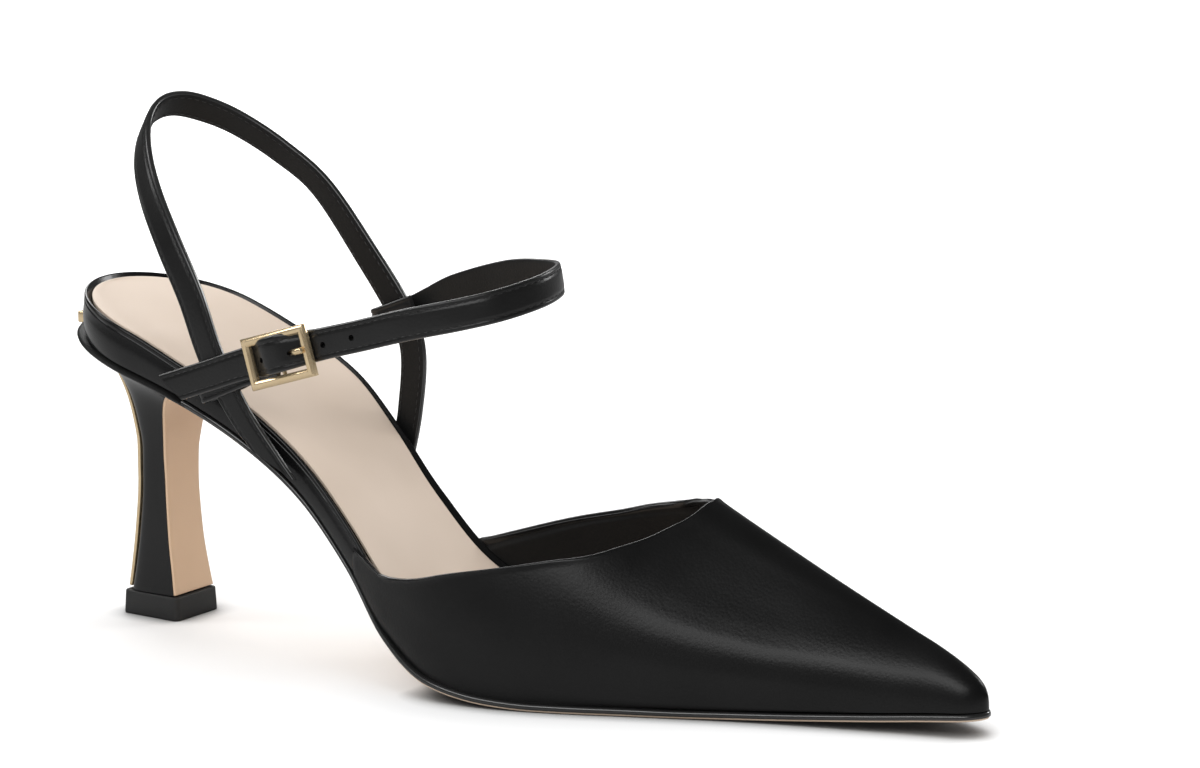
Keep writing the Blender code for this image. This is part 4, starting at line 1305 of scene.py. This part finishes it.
# %% Make the floor
FLOOR_HALF = 6.0
FLOOR_TONE = 0.9
FLOOR_DIMMED_BY = 0.54
FLOOR_GLOW = 0.8
CONTACT_REACH = 0.006
bm = bmesh.new()
bmesh.ops.create_grid(bm, x_segments=1, y_segments=1, size=FLOOR_HALF)
floor_finish, tree, shader, place = new_finish("white_floor")
floor = new_object("studio_floor", bm, [floor_finish])
shader.inputs["Roughness"].default_value = 0.9
shader.inputs["Specular IOR Level"].default_value = 0.1
shader.inputs["Emission Strength"].default_value = FLOOR_GLOW
ray = add_node(tree, "LightPath")
close = add_node(tree, "AmbientOcclusion", Distance=CONTACT_REACH)
close.samples = 6
contact = add_node(tree, "MapRange", From_Min=0.3, From_Max=0.95, To_Min=0.1)
wire(tree, close.outputs["AO"], contact.inputs["Value"])
less = math_node(tree, "MULTIPLY", ray.outputs["Is Glossy Ray"], FLOOR_DIMMED_BY)
dimmed = math_node(tree, "SUBTRACT", FLOOR_TONE, less)
wire(tree, math_node(tree, "MULTIPLY", dimmed, contact.outputs["Result"]), shader.inputs["Base Color"])
far = add_node(tree, "VectorMath")
far.operation = "LENGTH"
wire(tree, place, far.inputs[0])
glow = add_node(tree, "MapRange", From_Min=0.25, From_Max=1.5, To_Min=0.06)
wire(tree, far.outputs["Value"], glow.inputs["Value"])
lit = math_node(tree, "MULTIPLY", ray.outputs["Is Camera Ray"], glow.outputs["Result"])
wire(tree, math_node(tree, "MULTIPLY", lit, contact.outputs["Result"]), shader.inputs["Emission Color"])
print("floor", 2 * FLOOR_HALF, "m wide")

# %% [markdown]
# ## Light
# Black leather shows its shape by what it mirrors. A wide box overhead lights the shoe softly but is hidden
# from reflections. A long box on the outer side makes the band along the vamp, and three smaller ones draw
# the edges of the heel, the straps and the rim. The pale surround is dimmed for reflections too.

# %% Light the shoe
SURROUND = 0.68
SURROUND_SEEN = 0.5
world = bpy.data.worlds.new("pale_surround")
world.use_nodes = True
tree = world.node_tree
surround = tree.nodes["Background"]
surround.inputs["Color"].default_value = (1.0, 1.0, 1.0, 1.0)
ray = add_node(tree, "LightPath")
look = add_node(tree, "TexCoord")
split = add_node(tree, "SeparateXYZ")
wire(tree, look.outputs["Generated"], split.inputs["Vector"])
dusk = add_node(tree, "MapRange", From_Min=0.0, From_Max=0.35, To_Min=-0.52, To_Max=-0.62)
wire(tree, split.outputs["Z"], dusk.inputs["Value"])
darker = math_node(tree, "MULTIPLY", ray.outputs["Is Glossy Ray"], dusk.outputs["Result"])
whiter = math_node(tree, "MULTIPLY", ray.outputs["Is Camera Ray"], SURROUND_SEEN)
change = math_node(tree, "ADD", darker, whiter)
wire(tree, math_node(tree, "ADD", change, SURROUND), surround.inputs["Strength"])
bpy.context.scene.world = world
bpy.context.scene.view_settings.view_transform = "Standard"


def softbox(name, at, aim_z, size, watts):
    lamp = bpy.data.lights.new(name, "AREA")
    lamp.shape = "RECTANGLE"
    lamp.size, lamp.size_y = size
    lamp.energy = watts
    thing = bpy.data.objects.new(name, lamp)
    thing.location = at
    thing.rotation_euler = (Vector((0.0, 0.0, aim_z)) - Vector(at)).to_track_quat("-Z", "Y").to_euler()
    bpy.context.scene.collection.objects.link(thing)
    return thing


overhead = softbox("overhead_fill", (0.0, 0.5, 1.55), aim_z=0.0, size=(1.6, 1.6), watts=13.0)
overhead.visible_glossy = False
softbox("key_box", (0.0, -0.9, 0.72), aim_z=0.05, size=(1.2, 0.34), watts=4.2)
softbox("left_box", (-0.95, -0.4, 0.85), aim_z=0.05, size=(0.3, 0.6), watts=2.6)
softbox("edge_box", (0.5, 1.1, 0.6), aim_z=0.05, size=(0.4, 0.3), watts=3.0)
softbox("back_box", (-0.85, 0.8, 0.75), aim_z=0.05, size=(0.7, 0.35), watts=3.6)
print("lights", len(bpy.data.lights))

# %% [markdown]
# ## Camera
# The camera looks a little down at the outer side from the front, through a long lens. Its place is given as
# a turn and a pitch round a point in the middle of the shoe, with two small slides that set the framing.

# %% Place the camera
CAMERA_TURN = radians(32.0)
CAMERA_PITCH = radians(10.5)
CAMERA_FAR = 900.0
CAMERA_AIM = Vector((120.0, 0.0, 40.0))
SLIDE_RIGHT = 19.7
SLIDE_UP = 25.7
level = cos(CAMERA_PITCH)
back = Vector((sin(CAMERA_TURN) * level, -cos(CAMERA_TURN) * level, sin(CAMERA_PITCH)))
right = Vector((cos(CAMERA_TURN), sin(CAMERA_TURN), 0.0))
up = back.cross(right)
eye = TO_FRAME @ (CAMERA_AIM + back * CAMERA_FAR + right * SLIDE_RIGHT + up * SLIDE_UP)
lens = bpy.data.cameras.new("photo_camera")
lens.sensor_width = 36.0
lens.lens = 118.0
lens.clip_start = 0.01
lens.clip_end = 50.0
camera = bpy.data.objects.new("photo_camera", lens)
camera.matrix_world = Matrix.Translation(eye) @ Matrix((right, up, back)).transposed().to_4x4()
bpy.context.scene.collection.objects.link(camera)
bpy.context.scene.camera = camera
print("camera at", [round(c, 3) for c in eye])
